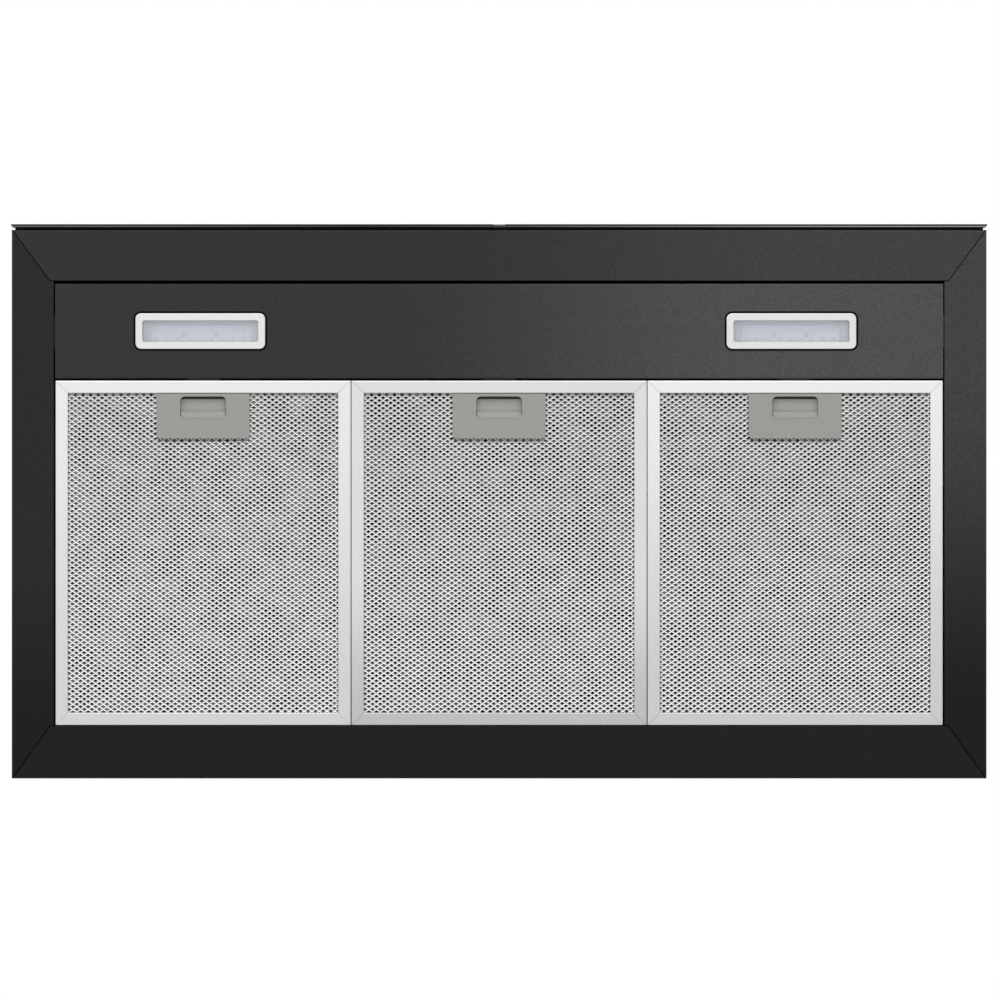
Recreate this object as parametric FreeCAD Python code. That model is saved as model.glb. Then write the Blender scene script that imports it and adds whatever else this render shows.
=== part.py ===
import FreeCAD, Part
import math
import os

V = FreeCAD.Vector

# A wall chimney range hood, drawn in millimetres with the wall at y = 0, the front towards -y
# and the underside at z = 0. Finished pieces are lowered so that the origin is the centre of the
# four wall screws.

# Canopy of folded steel sheet
hood_width = 900.0
body_depth = 506.5
rim_height = 60.0
slope_height = 190.0
sheet = 1.0
fold_radius = 1.0
hem_width = 8.0
front_flange = 47.0
rear_flange = 48.3
side_flange = 39.0
mitre_run = 34.7
mitre_gap = 1.0
step_gap = 0.6
flange_clear = 0.5
collar_tab_gap = 4.0
collar_rise = 20.0
wall_screw_height = 140.0
wall_screw_spacing_x = 240.0
wall_screw_spacing_z = 60.0
wall_screw_radius = 4.0

# Clearances shared by several pieces
fit_gap = 0.3
side_gap = 1.2
bearing_gap = 0.05
cut_reach = 4.0
tiny = 1e-6

# A rounded or slanted edge takes at most this share of the wall it is on
edge_share = 0.9

# Glass fascia, its tape, sensor window and touch board
fascia_thickness = 3.2
fascia_stand_off = 2.0
fascia_bevel = 1.8
fascia_arris = 0.3
fascia_overhang = 0.5
tape_width = 8.0
tape_inset = 10.0
tape_end_inset = 2.5
sensor_width = 11.5
sensor_height = 4.0
sensor_gap = 0.15
touch_board_width = 150.0
touch_board_height = 38.0
board_thickness = 1.6
touch_window_margin = 5.0
touch_pad_count = 5
touch_pad_radius = 6.0
touch_pad_pitch = 26.0

# Lamp panel and the two lamps
lamp_panel_depth = 87.8
panel_seam = 2.6
filter_seam = 1.5
panel_flange_rise = 20.0
panel_ear_width = 30.0
panel_ear_reach = 18.0
lamp_spacing = 545.6
lamp_shift = -3.0
bezel_length = 119.8
bezel_width = 33.0
bezel_corner = 5.3
bezel_proud = 0.8
bezel_round = 0.7
bezel_gap = 1.8
lens_length = 107.0
lens_width = 19.8
lens_corner = 2.0
lens_thickness = 2.0
sleeve_wall = 1.2
sleeve_height = 6.0
lens_recess = 1.6
housing_wall = 1.5
housing_height = 14.0
led_board_length = 91.0
led_board_width = 16.0
led_board_shift = 2.0
led_columns = 9
led_rows = 2
led_pitch_x = 10.1
led_pitch_y = 7.3
led_length = 3.0
led_width = 2.6
led_height = 0.7

# Grease filters
filter_names = ["left", "center", "right"]
filter_height = 9.0
filter_sheet = 0.8
filter_fold_radius = 0.6
filter_face = 12.0
filter_lip = 1.5
filter_gap = 0.3
filter_mitre_gap = 0.25
hinge_gap = 0.7
tab_width = 22.0
tab_spacing = 180.0
tab_reach = 7.0
tab_thickness = 1.0
net_thickness = 0.8
net_edge_gap = 0.6
outer_net_columns = 6
outer_net_rows = 10
inner_net_columns = 4
inner_net_rows = 6
net_strand = 5.0

# Filter latches
latch_width = 86.0
latch_length = 41.4
latch_plate = 1.2
latch_recess = 0.2
latch_corner = 3.7
window_width = 42.5
window_length = 20.7
window_corner = 4.6
window_margin = 2.6
latch_box_width = 78.0
latch_box_reach = 5.8
latch_rear_margin = 3.4
latch_wall = 1.5
latch_travel = 6.0
pull_step = 6.5
slider_floor = 1.6
slider_floor_level = 4.4
tongue_width = 30.0
tongue_depth = 2.6
tongue_reach = 5.8
tongue_slant = 1.6
catch_gap = 0.8
runner_width = 1.5
ledge_width = 3.5
spring_strip = 0.4
spring_span = 28.0
spring_height = 2.2

# Chimney covers and the wall bracket of the upper one
chimney_width = 320.0
chimney_depth = 280.0
cover_gap = 0.4
slide_gap = 0.6
return_width = 18.0
lower_cover_height = 420.0
upper_cover_showing = 65.0
bracket_sheet = 1.5
bracket_height = 28.0
bracket_drop = 8.0
bracket_arm = 48.0
bracket_joggle = 5.0
bracket_hole_spacing = 200.0
bracket_hole_radius = 3.0
bracket_screw_margin = 15.7
chimney_screw_inset = 70.0

# Fan box, its support frame and the scroll
fan_room = 7.4
fan_box_height = 289.0
fan_box_flange = 14.0
cover_lip = 10.0
support_rise = 2.0
support_lip = 10.0
support_ledge = 28.0
scroll_wall = 2.0
scroll_start_radius = 86.0
scroll_growth = 10.0
scroll_width = 150.0
scroll_side_room = 20.0
scroll_neck_height = 144.0
neck_tongue_offset = 35.0
scroll_seam_flange = 6.0
inlet_radius = 58.0
inlet_lip = 5.0

# Impeller and motor
impeller_radius = 74.0
blade_depth = 13.0
blade_count = 30
blade_thickness = 1.2
blade_sweep = 9.0
blade_camber = 0.32
blade_cut_over = 1.0
impeller_end_room = 7.0
impeller_ring = 6.0
impeller_disc = 3.0
hub_radius = 10.0
hub_length = 14.0
shaft_radius = 4.0
motor_radius = 42.0
motor_length = 58.0
motor_front_room = 6.0
motor_edge = 8.0
motor_rib_count = 12
motor_rib = 2.0
motor_rib_root = 6.0
shaft_depth = 24.0
shaft_end_room = 1.0
bracket_arm_count = 4
bracket_arm_width = 14.0
bracket_overlap = 12.0
bracket_hub_radius = 25.0
bracket_plate = 2.0

# Outlet collar and its two damper flaps
collar_radius = 74.5
collar_wall = 2.0
collar_height = 80.0
collar_flange = 17.5
collar_screw_angles = [45, 135, 225, 315]
pin_height = 14.0
pin_radius = 2.0
knuckle_wall = 1.2
knuckle_count = 4
knuckle_gap = 0.6
flap_thickness = 1.0
flap_gap = 1.2
flap_stop = 5.0

# Electrical pieces on the back panel
control_box_width = 120.0
control_box_height = 44.0
control_box_depth = 43.0
control_box_floor = 14.0
control_box_wall = 2.0
control_box_offset = 240.0
lid_thickness = 2.0
gland_radius = 9.0
gland_collar = 6.0
gland_height = 18.0
gland_bore = 4.0
gland_step = 1.0
capacitor_radius = 16.0
capacitor_length = 44.0
capacitor_offset = 230.0
capacitor_edge = 2.5

# Pan head screws
screw_radius = 1.6
screw_hole = 1.8
screw_head_radius = 3.6
screw_head_height = 2.2
screw_grip = 6.0
screw_head_bevel = 1.0

# Places that follow from the sizes
half_width = hood_width / 2
canopy_top = rim_height + slope_height
collar_top = canopy_top + collar_rise
collar_half = chimney_width / 2 - sheet - cover_gap
collar_depth = chimney_depth - sheet - cover_gap
front_edge = -(body_depth - front_flange)
rear_edge = -rear_flange
opening_half = half_width - side_flange
hem_height = 2 * sheet
flange_zone = hem_height + flange_clear
panel_front = front_edge + panel_seam
panel_rear = panel_front + lamp_panel_depth
filter_front = panel_rear + filter_seam
filter_rear = rear_edge - hinge_gap
filter_depth = filter_rear - filter_front
bay_half = opening_half - side_gap
filter_count = len(filter_names)
filter_width = (2 * bay_half - (filter_count - 1) * filter_gap) / filter_count
filter_pitch = filter_width + filter_gap
lamp_y = (panel_front + panel_rear) / 2
lamp_places = {"left": lamp_shift - lamp_spacing / 2, "right": lamp_shift + lamp_spacing / 2}
fascia_back = -body_depth - fascia_stand_off
fascia_front = fascia_back - fascia_thickness
upper_half = chimney_width / 2 - sheet - slide_gap
upper_front = -(chimney_depth - sheet - slide_gap)
upper_back = -(sheet + slide_gap)
lower_cover_bottom = canopy_top + fit_gap
lower_cover_top = lower_cover_bottom + lower_cover_height
upper_cover_bottom = collar_top + fit_gap
upper_cover_top = lower_cover_top + upper_cover_showing
support_bottom = canopy_top + support_rise
fan_box_bottom = support_bottom + sheet
fan_box_top = fan_box_bottom + fan_box_height
fan_box_half = upper_half - sheet - fan_room
fan_box_front = upper_front + sheet + fan_room
fan_box_rear = upper_back - sheet - fan_room
fan_mid = (fan_box_front + fan_box_rear) / 2
scroll_top = fan_box_top - sheet
axle_x = -fan_box_half + sheet + scroll_side_room + scroll_start_radius + scroll_growth / 2
axle_z = scroll_top - scroll_neck_height
neck_left = axle_x - neck_tongue_offset
scroll_end_radius = scroll_start_radius + 2 * scroll_growth
neck_right = axle_x + scroll_growth / 2 + scroll_end_radius
outlet_x = (neck_left + neck_right) / 2
pin_z = fan_box_top + pin_height
sides = {"left": -1, "right": 1}

os.makedirs("parts", exist_ok=True)


def save(name, shape):
    """Write one piece, lowered so that the wall screws' centre is the origin."""
    piece = shape.copy()
    piece.translate(V(0, 0, -wall_screw_height))
    piece.exportStep("parts/" + name + ".step")
    print(name, len(piece.Solids), round(piece.Volume / 1000, 2), "cm3", piece.isValid())


# Drawing helpers
def at_height(z):
    return lambda a, b: V(a, b, z)


def seen_from_side(x):
    return lambda a, b: V(x, a, b)


def seen_from_front(y):
    return lambda a, b: V(a, y, b)


def closed_wire(points, radii, place):
    """A closed outline of straight runs, its corners rounded by tangent arcs."""
    count = len(points)
    if not isinstance(radii, (list, tuple)):
        radii = [radii] * count
    corners = []
    for i, (x, y) in enumerate(points):
        before, after = points[i - 1], points[(i + 1) % count]
        in_x, in_y = x - before[0], y - before[1]
        out_x, out_y = after[0] - x, after[1] - y
        in_length, out_length = math.hypot(in_x, in_y), math.hypot(out_x, out_y)
        in_x, in_y = in_x / in_length, in_y / in_length
        out_x, out_y = out_x / out_length, out_y / out_length
        half_turn = math.acos(max(-1.0, min(1.0, in_x * out_x + in_y * out_y))) / 2
        if radii[i] <= 0 or half_turn < tiny:
            corners.append([(x, y)])
            continue
        run = radii[i] * math.tan(half_turn)
        lift = radii[i] / math.cos(half_turn) - radii[i]
        inward = math.hypot(out_x - in_x, out_y - in_y)
        middle = (x + lift * (out_x - in_x) / inward, y + lift * (out_y - in_y) / inward)
        begin, end = (x - run * in_x, y - run * in_y), (x + run * out_x, y + run * out_y)
        corners.append([begin, middle, end])
    edges = []
    for i, corner in enumerate(corners):
        if len(corner) == 3:
            edges.append(Part.Arc(*[place(*p) for p in corner]).toShape())
        start, end = place(*corner[-1]), place(*corners[(i + 1) % count][0])
        if start.distanceToPoint(end) > tiny:
            edges.append(Part.LineSegment(start, end).toShape())
    return Part.Wire(edges)


def prism(points, radii, place, travel):
    return Part.Face(closed_wire(points, radii, place)).extrude(travel)


def rectangle(x0, x1, y0, y1):
    return [(x0, y0), (x1, y0), (x1, y1), (x0, y1)]


def block(x0, x1, y0, y1, z0, z1):
    return Part.makeBox(x1 - x0, y1 - y0, z1 - z0, V(x0, y0, z0))


def rounded_plate(x0, x1, y0, y1, z0, z1, radii):
    return prism(rectangle(x0, x1, y0, y1), radii, at_height(z0), V(0, 0, z1 - z0))


def region(points, z0, z1):
    return prism(points, 0, at_height(z0), V(0, 0, z1 - z0))


def rod(start, end, radius):
    return Part.makeCylinder(radius, (end - start).Length, start, end - start)


def joined(shapes):
    return shapes[0].multiFuse(shapes[1:]).removeSplitter()


def folded_strip(outer, thickness, inner_radius):
    """Outline and corner radii of a folded sheet, whose thickness lies right of its outer line."""
    lines = []
    for (ax, ay), (bx, by) in zip(outer, outer[1:]):
        length = math.hypot(bx - ax, by - ay)
        lines.append(((bx - ax) / length, (by - ay) / length))
    inner, outer_radii, inner_radii = [], [], []
    for i, (x, y) in enumerate(outer):
        one, two = lines[max(i - 1, 0)], lines[min(i, len(lines) - 1)]
        turn = one[0] * two[1] - one[1] * two[0]
        share = 1 + one[0] * two[0] + one[1] * two[1]
        shift = thickness / share
        inner.append((x + shift * (one[1] + two[1]), y - shift * (one[0] + two[0])))
        outer_radii.append(0 if abs(turn) < tiny else inner_radius + (thickness if turn < 0 else 0))
        inner_radii.append(0 if abs(turn) < tiny else inner_radius + (thickness if turn > 0 else 0))
    return outer + inner[::-1], outer_radii + inner_radii[::-1]


def folded_sheet(outer, thickness, inner_radius, place, travel):
    points, radii = folded_strip(outer, thickness, inner_radius)
    return prism(points, radii, place, travel)


def edge_size(size, wall):
    return min(size, edge_share * wall)


def through_hole(point, direction, reach, radius):
    out = V(direction).normalize()
    return rod(point - out * reach, point + out * reach, radius)


def edges_at(shape, *where):
    """The edges whose ends all lie at the given values of x, y or z."""
    found = []
    for edge in shape.Edges:
        ends = [getattr(v, axis) - value for v in edge.Vertexes for axis, value in where]
        if all(abs(off) < tiny for off in ends):
            found.append(edge)
    return found


def pan_screw(head_seat, outward, grip=screw_grip):
    """A pan head screw whose head sits on head_seat and points outward."""
    out = V(outward).normalize()
    shank = rod(head_seat, head_seat - out * grip, screw_radius)
    head = rod(head_seat, head_seat + out * screw_head_height, screw_head_radius)
    rim = [e for e in head.Edges if (e.CenterOfMass - head_seat).dot(out) > screw_head_height - tiny]
    return head.makeChamfer(edge_size(screw_head_bevel, screw_head_height), rim[:1]).fuse(shank)


# Screw places, used by the screws and by the holes that they pass through
chimney_screw_places = [
    (V(side * chimney_width / 2, y, canopy_top + collar_rise / 2), V(side, 0, 0))
    for side in sides.values()
    for y in (-chimney_screw_inset, -chimney_depth + chimney_screw_inset)
]
fan_screw_x = fan_box_half - fan_box_flange / 2
fan_screw_places = [
    (V(side * fan_screw_x, fan_mid + end * scroll_width / 2, support_bottom), V(0, 0, -1))
    for side in sides.values()
    for end in (-1, 1)
]
collar_screw_circle = collar_radius + collar_flange / 2
collar_screw_places = [
    (
        V(
            outlet_x + collar_screw_circle * math.cos(math.radians(angle)),
            fan_mid + collar_screw_circle * math.sin(math.radians(angle)),
            fan_box_top + collar_wall,
        ),
        V(0, 0, 1),
    )
    for angle in collar_screw_angles
]
bracket_mid = upper_cover_top - bracket_drop - bracket_height / 2
bracket_stand = upper_back - sheet - fit_gap
bracket_screw_y = bracket_stand - bracket_arm + bracket_screw_margin
bracket_screw_places = [
    (V(side * upper_half, bracket_screw_y, bracket_mid), V(side, 0, 0))
    for side in sides.values()
]


def screw_group(places):
    return Part.makeCompound([pan_screw(point, outward) for point, outward in places])


def with_screw_holes(shape, places, reach=4 * screw_grip):
    holes = [through_hole(point, outward, reach, screw_hole) for point, outward in places]
    return shape.cut(Part.makeCompound(holes))


# The hip lines where the canopy's sheets meet, seen from above, carried a little past the collar's corner
hip_over = 0.02
hip_inner = (
    collar_half - hip_over * (half_width - collar_half),
    -collar_depth + hip_over * (body_depth - collar_depth),
)


def hem(edge, inward, place, travel):
    """A closed hem: the sheet doubled back, with a full round edge."""
    points = rectangle(0, hem_width, 0, hem_height)
    radii = [sheet, 0, 0, sheet]
    return prism(points, radii, lambda a, b: place(edge + inward * a, b), travel)


def front_sheet():
    """Bottom flange, front wall, front slope and chimney collar folded from one sheet."""
    across = V(hood_width, 0, 0)
    place = seen_from_side(-half_width)
    outer = [
        (front_edge - sheet, 0),
        (-body_depth, 0),
        (-body_depth, rim_height),
        (-collar_depth, canopy_top),
        (-collar_depth, collar_top),
    ]
    shape = folded_sheet(outer, sheet, fold_radius, place, across).fuse(hem(front_edge, -1, place, across))
    upper = [
        (-half_width, -body_depth),
        (half_width, -body_depth),
        hip_inner,
        (-hip_inner[0], hip_inner[1]),
    ]
    corner = half_width - mitre_gap
    lower = [
        (-corner, -body_depth),
        (corner, -body_depth),
        (corner - mitre_run, front_edge),
        (-corner + mitre_run, front_edge),
    ]
    keep = region(upper, flange_zone, collar_top).fuse(region(lower, 0, flange_zone))
    window_half = touch_board_width / 2 - touch_window_margin
    window_low = (rim_height - touch_board_height) / 2 + touch_window_margin
    window = block(
        -window_half,
        window_half,
        -body_depth - sheet,
        -body_depth + 2 * sheet,
        window_low,
        rim_height - window_low,
    )
    return shape.common(keep).cut(window).removeSplitter()


def side_sheet(side):
    """Bottom flange, side wall, side slope and chimney collar folded from one sheet."""
    along = V(0, body_depth, 0)

    def place(a, b):
        return V(side * a, -body_depth, b)

    outer = [
        (opening_half + sheet, 0),
        (half_width, 0),
        (half_width, rim_height),
        (collar_half, canopy_top),
        (collar_half, collar_top),
    ]
    mirrored = [(-a, b) for a, b in outer]
    points, radii = folded_strip(mirrored, sheet, fold_radius)
    shape = prism([(-a, b) for a, b in points], radii, place, along).fuse(hem(opening_half, 1, place, along))
    front_step = front_edge + step_gap
    rear_step = rear_edge - step_gap
    front_slant = mitre_run / front_flange * (body_depth + front_step)
    rear_slant = mitre_run / rear_flange
    upper = [(half_width, -body_depth), hip_inner, (hip_inner[0], -sheet), (half_width, -sheet)]
    lower = [
        (half_width, -body_depth),
        (half_width - front_slant, front_step),
        (opening_half, front_step),
        (opening_half, rear_step),
        (half_width + rear_slant * rear_step, rear_step),
        (half_width - rear_slant * sheet, -sheet),
        (half_width, -sheet),
    ]
    upper = [(side * x, y) for x, y in upper]
    lower = [(side * x, y) for x, y in lower]
    keep = region(upper, flange_zone, collar_top).fuse(region(lower, 0, flange_zone))
    clear = sheet + fold_radius + fit_gap
    rear = block(-half_width, half_width, -clear, 0, canopy_top, collar_top)
    return with_screw_holes(shape.common(keep).cut(rear), chimney_screw_places).removeSplitter()


def back_panel():
    """Back wall with the wall screw holes, and the rear bottom flange folded from it."""
    tab_half = chimney_width / 2 - return_width - collar_tab_gap
    outline = [
        (-half_width, flange_zone),
        (half_width, flange_zone),
        (half_width, rim_height),
        (collar_half, canopy_top),
        (tab_half, canopy_top),
        (tab_half, collar_top),
        (-tab_half, collar_top),
        (-tab_half, canopy_top),
        (-collar_half, canopy_top),
        (-half_width, rim_height),
    ]
    wall = prism(outline, 0, seen_from_front(-sheet), V(0, sheet, 0))
    across = V(hood_width, 0, 0)
    place = seen_from_side(-half_width)
    outer = [(0, flange_zone), (0, 0), (rear_edge + sheet, 0)]
    flange = folded_sheet(outer, sheet, fold_radius, place, across).fuse(hem(rear_edge, 1, place, across))
    corner = half_width - mitre_gap
    keep = [(-corner, 0), (corner, 0), (corner - mitre_run, rear_edge), (-corner + mitre_run, rear_edge)]
    shape = wall.fuse(flange.common(region(keep, 0, flange_zone)))
    for x in (-wall_screw_spacing_x / 2, wall_screw_spacing_x / 2):
        for z in (-wall_screw_spacing_z / 2, wall_screw_spacing_z / 2):
            hole = V(x, 0, wall_screw_height + z)
            shape = shape.cut(through_hole(hole, V(0, 1, 0), cut_reach, wall_screw_radius))
    return shape.removeSplitter()


def sensor_notch(gap):
    half = sensor_width / 2 - gap
    return block(-half, half, fascia_front, fascia_back, 0, sensor_height - gap)


def glass_fascia():
    """Front glass with a wide bevel round its back edge and a fine arris round its front edge."""
    half = half_width + fascia_overhang
    glass = block(-half, half, fascia_front, fascia_back, 0, rim_height)
    glass = glass.makeChamfer(edge_size(fascia_bevel, fascia_thickness), edges_at(glass, ("Y", fascia_back)))
    glass = glass.makeChamfer(fascia_arris, edges_at(glass, ("Y", fascia_front)))
    return glass.cut(sensor_notch(0))


def sensor_window():
    front, back = fascia_front + fascia_arris, fascia_back - fascia_bevel
    return sensor_notch(sensor_gap).common(block(-sensor_width, sensor_width, front, back, 0, sensor_height))


def fascia_tape():
    """Two strips of foam tape that hold the glass off the front wall."""
    reach = half_width - tape_end_inset
    strips = []
    for low in (tape_inset, rim_height - tape_inset - tape_width):
        strips.append(block(-reach, reach, fascia_back, -body_depth, low, low + tape_width))
    return Part.makeCompound(strips)


def touch_board():
    """Control board behind the front wall, with spring pads that reach to the glass."""
    half = touch_board_width / 2
    low = (rim_height - touch_board_height) / 2
    back = -body_depth + sheet
    shapes = [block(-half, half, back, back + board_thickness, low, rim_height - low)]
    for i in range(touch_pad_count):
        x = (i - (touch_pad_count - 1) / 2) * touch_pad_pitch
        shapes.append(rod(V(x, back, rim_height / 2), V(x, fascia_back, rim_height / 2), touch_pad_radius))
    return joined(shapes)


# Lamps
def lamp_panel():
    """Panel under the lamps. Its front and rear edges turn up, and the rear one has the latch slots."""
    outer = [
        (panel_rear, panel_flange_rise),
        (panel_rear, 0),
        (panel_front, 0),
        (panel_front, panel_flange_rise),
    ]
    shape = folded_sheet(outer, sheet, fold_radius, seen_from_side(-bay_half), V(2 * bay_half, 0, 0))
    ear_low = hem_height + fit_gap
    ears = []
    for side in sides.values():
        inner, outer_end = side * (bay_half - sheet), side * (opening_half + panel_ear_reach)
        x0, x1 = sorted((inner, outer_end))
        wall0, wall1 = sorted((inner, side * bay_half))
        y0, y1 = lamp_y - panel_ear_width / 2, lamp_y + panel_ear_width / 2
        ears.append(block(x0, x1, y0, y1, ear_low, ear_low + sheet))
        ears.append(block(wall0, wall1, y0, y1, 0, ear_low + sheet))
    shape = joined([shape] + ears)
    for x in lamp_places.values():
        hole = lamp_outline(x, bezel_length, bezel_width, bezel_corner, bezel_gap, -sheet, 2 * sheet)
        shape = shape.cut(hole)
    for i in range(filter_count):
        x = filter_x(i)
        half = tongue_width / 2 + catch_gap * 2
        low = slider_floor_level + slider_floor - tongue_depth - catch_gap
        high = slider_floor_level + slider_floor + catch_gap
        shape = shape.cut(block(x - half, x + half, panel_rear - 2 * sheet, panel_rear + sheet, low, high))
    return shape.removeSplitter()


def lamp_outline(x, length, width, corner, grow, z0, z1):
    """A rounded block centred on a lamp, grown by a clearance."""
    half_l, half_w = length / 2 + grow, width / 2 + grow
    return rounded_plate(x - half_l, x + half_l, lamp_y - half_w, lamp_y + half_w, z0, z1, corner + grow)


def lamp_bezel(x):
    """Bezel that fills the panel's cut-out, with a sleeve round the lens."""
    face = lamp_outline(x, bezel_length, bezel_width, bezel_corner, 0, -bezel_proud, sheet)
    face = face.makeFillet(edge_size(bezel_round, bezel_proud), edges_at(face, ("Z", -bezel_proud)))
    sleeve = lamp_outline(x, lens_length, lens_width, lens_corner, sleeve_wall, sheet, sheet + sleeve_height)
    hollow = lamp_outline(x, lens_length, lens_width, lens_corner, 0, -2 * bezel_proud, 2 * sleeve_height)
    return face.fuse(sleeve).cut(hollow).removeSplitter()


def lamp_lens(x):
    low = lens_recess
    return lamp_outline(x, lens_length, lens_width, lens_corner, -fit_gap, low, low + lens_thickness)


def lamp_housing(x):
    """Tray over the lens that holds the light board. Its flange backs the bezel and laps over the panel."""
    length = lens_length + 2 * (sleeve_wall + fit_gap)
    width = lens_width + 2 * (sleeve_wall + fit_gap)
    corner = lens_corner + sleeve_wall + fit_gap
    ceiling = sheet + housing_height
    flange_lap = bezel_gap + housing_wall
    flange = lamp_outline(x, bezel_length, bezel_width, bezel_corner, flange_lap, sheet, sheet + housing_wall)
    tray = lamp_outline(x, length, width, corner, housing_wall, sheet, ceiling)
    hollow = lamp_outline(x, length, width, corner, 0, 0, ceiling - housing_wall)
    return flange.fuse(tray).cut(hollow).removeSplitter()


def led_board(x):
    """Light board under the tray's ceiling, set towards the rear, with two rows of light diodes."""
    top = sheet + housing_height - housing_wall
    bottom = top - board_thickness
    half_l, half_w = led_board_length / 2, led_board_width / 2
    middle = lamp_y + led_board_shift
    shapes = [block(x - half_l, x + half_l, middle - half_w, middle + half_w, bottom, top)]
    for column in range(led_columns):
        for row in range(led_rows):
            cx = x + (column - (led_columns - 1) / 2) * led_pitch_x
            cy = middle + (row - (led_rows - 1) / 2) * led_pitch_y
            shapes.append(
                block(
                    cx - led_length / 2,
                    cx + led_length / 2,
                    cy - led_width / 2,
                    cy + led_width / 2,
                    bottom - led_height,
                    bottom,
                )
            )
    return joined(shapes)


# Filters
def filter_x(index):
    return (index - (filter_count - 1) / 2) * filter_pitch


def filter_frame(x):
    """Four mitred lengths of lipped aluminium channel. The rear one carries the two hook tabs."""
    x0, x1 = x - filter_width / 2, x + filter_width / 2
    y0, y1 = filter_front, filter_rear
    profile = [
        (filter_face, filter_lip),
        (filter_face, 0),
        (0, 0),
        (0, filter_height),
        (filter_face, filter_height),
    ]
    points, radii = folded_strip(profile, filter_sheet, filter_fold_radius)
    gap = filter_mitre_gap
    inner_x0, inner_x1 = x0 + filter_face, x1 - filter_face
    inner_y0, inner_y1 = y0 + filter_face, y1 - filter_face
    lengths = [
        (
            prism(points, radii, lambda a, b: V(x0, y0 + a, b), V(filter_width, 0, 0)),
            [(x0 + gap, y0), (x1 - gap, y0), (inner_x1 - gap, inner_y0), (inner_x0 + gap, inner_y0)],
        ),
        (
            prism(points, radii, lambda a, b: V(x0, y1 - a, b), V(filter_width, 0, 0)),
            [(x0 + gap, y1), (x1 - gap, y1), (inner_x1 - gap, inner_y1), (inner_x0 + gap, inner_y1)],
        ),
        (
            prism(points, radii, lambda a, b: V(x0 + a, y0, b), V(0, filter_depth, 0)),
            [(x0, y0), (inner_x0, inner_y0), (inner_x0, inner_y1), (x0, y1)],
        ),
        (
            prism(points, radii, lambda a, b: V(x1 - a, y0, b), V(0, filter_depth, 0)),
            [(x1, y0), (inner_x1, inner_y0), (inner_x1, inner_y1), (x1, y1)],
        ),
    ]
    front, rear, left, right = [shape.common(region(keep, 0, filter_height)) for shape, keep in lengths]
    slot_half = tongue_width / 2 + catch_gap
    slot_low = slider_floor_level + slider_floor - tongue_depth - catch_gap
    slot_high = slider_floor_level + slider_floor + catch_gap
    slot = block(x - slot_half, x + slot_half, y0 - sheet, y0 + 2 * filter_sheet, slot_low, slot_high)
    front = front.cut(slot)
    tab_low = hem_height + fit_gap
    for side in sides.values():
        tab_x = x + side * tab_spacing / 2
        tab = block(
            tab_x - tab_width / 2,
            tab_x + tab_width / 2,
            y1 - filter_sheet,
            rear_edge + tab_reach,
            tab_low,
            tab_low + tab_thickness,
        )
        rear = rear.fuse(tab)
    return Part.makeCompound([s.removeSplitter() for s in (front, rear, left, right)])


def net(x, low, columns, rows, thickness):
    """One holed sheet of expanded metal with staggered diamonds, notched round the latch."""
    edge = filter_sheet + net_edge_gap
    x0, x1 = x - filter_width / 2 + edge, x + filter_width / 2 - edge
    y0, y1 = filter_front + edge, filter_rear - edge
    notch_half = latch_box_width / 2 + fit_gap
    notch_rear = latch_box_rear + fit_gap
    outline = [
        (x0, y0),
        (x - notch_half, y0),
        (x - notch_half, notch_rear),
        (x + notch_half, notch_rear),
        (x + notch_half, y0),
        (x1, y0),
        (x1, y1),
        (x0, y1),
    ]
    face_x0, face_x1 = x - filter_width / 2 + filter_face, x + filter_width / 2 - filter_face
    face_y0, face_y1 = filter_front + filter_face, filter_rear - filter_face
    pitch_x, pitch_y = (face_x1 - face_x0) / columns, (face_y1 - face_y0) / rows
    half_x, half_y = pitch_x / 2 - net_strand, pitch_y / 2 - net_strand
    wires = [closed_wire(outline, 0, at_height(low))]
    for row in range(2 * rows - 1):
        stagger = row % 2
        for column in range(columns - stagger):
            cx = face_x0 + (column + 0.5 + stagger / 2) * pitch_x
            cy = face_y0 + (row + 1) * pitch_y / 2
            beside_latch = abs(cx - x) - half_x < notch_half + net_strand
            if beside_latch and cy - half_y < notch_rear + net_strand:
                continue
            diamond = [(cx - half_x, cy), (cx, cy - half_y), (cx + half_x, cy), (cx, cy + half_y)]
            wires.append(closed_wire(diamond, 0, at_height(low)))
    return Part.makeFace(wires, "Part::FaceMakerBullseye").extrude(V(0, 0, thickness))


def outer_net(x):
    low = max(latch_plate_top, filter_lip) + fit_gap
    return net(x, low, outer_net_columns, outer_net_rows, net_thickness)


def inner_net(x):
    low = filter_height - filter_sheet - net_edge_gap / 2 - net_thickness
    return net(x, low, inner_net_columns, inner_net_rows, net_thickness)


# Latches, placed from the front edge of the filters
latch_plate_front = filter_front + filter_face + fit_gap
latch_plate_rear = latch_plate_front + latch_length
latch_plate_top = latch_recess + latch_plate
window_front = latch_plate_front + window_margin
window_rear = window_front + window_length
latch_box_front = filter_front + latch_box_reach
latch_box_top = filter_height - filter_sheet - fit_gap
slider_front = latch_box_front + latch_wall + fit_gap
slider_top = slider_floor_level + slider_floor
slider_half = latch_box_width / 2 - latch_wall - fit_gap
slider_low = latch_plate_top + fit_gap
latch_box_rear = latch_plate_rear - latch_rear_margin
slider_rear = latch_box_rear - latch_wall - latch_travel - latch_wall


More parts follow.
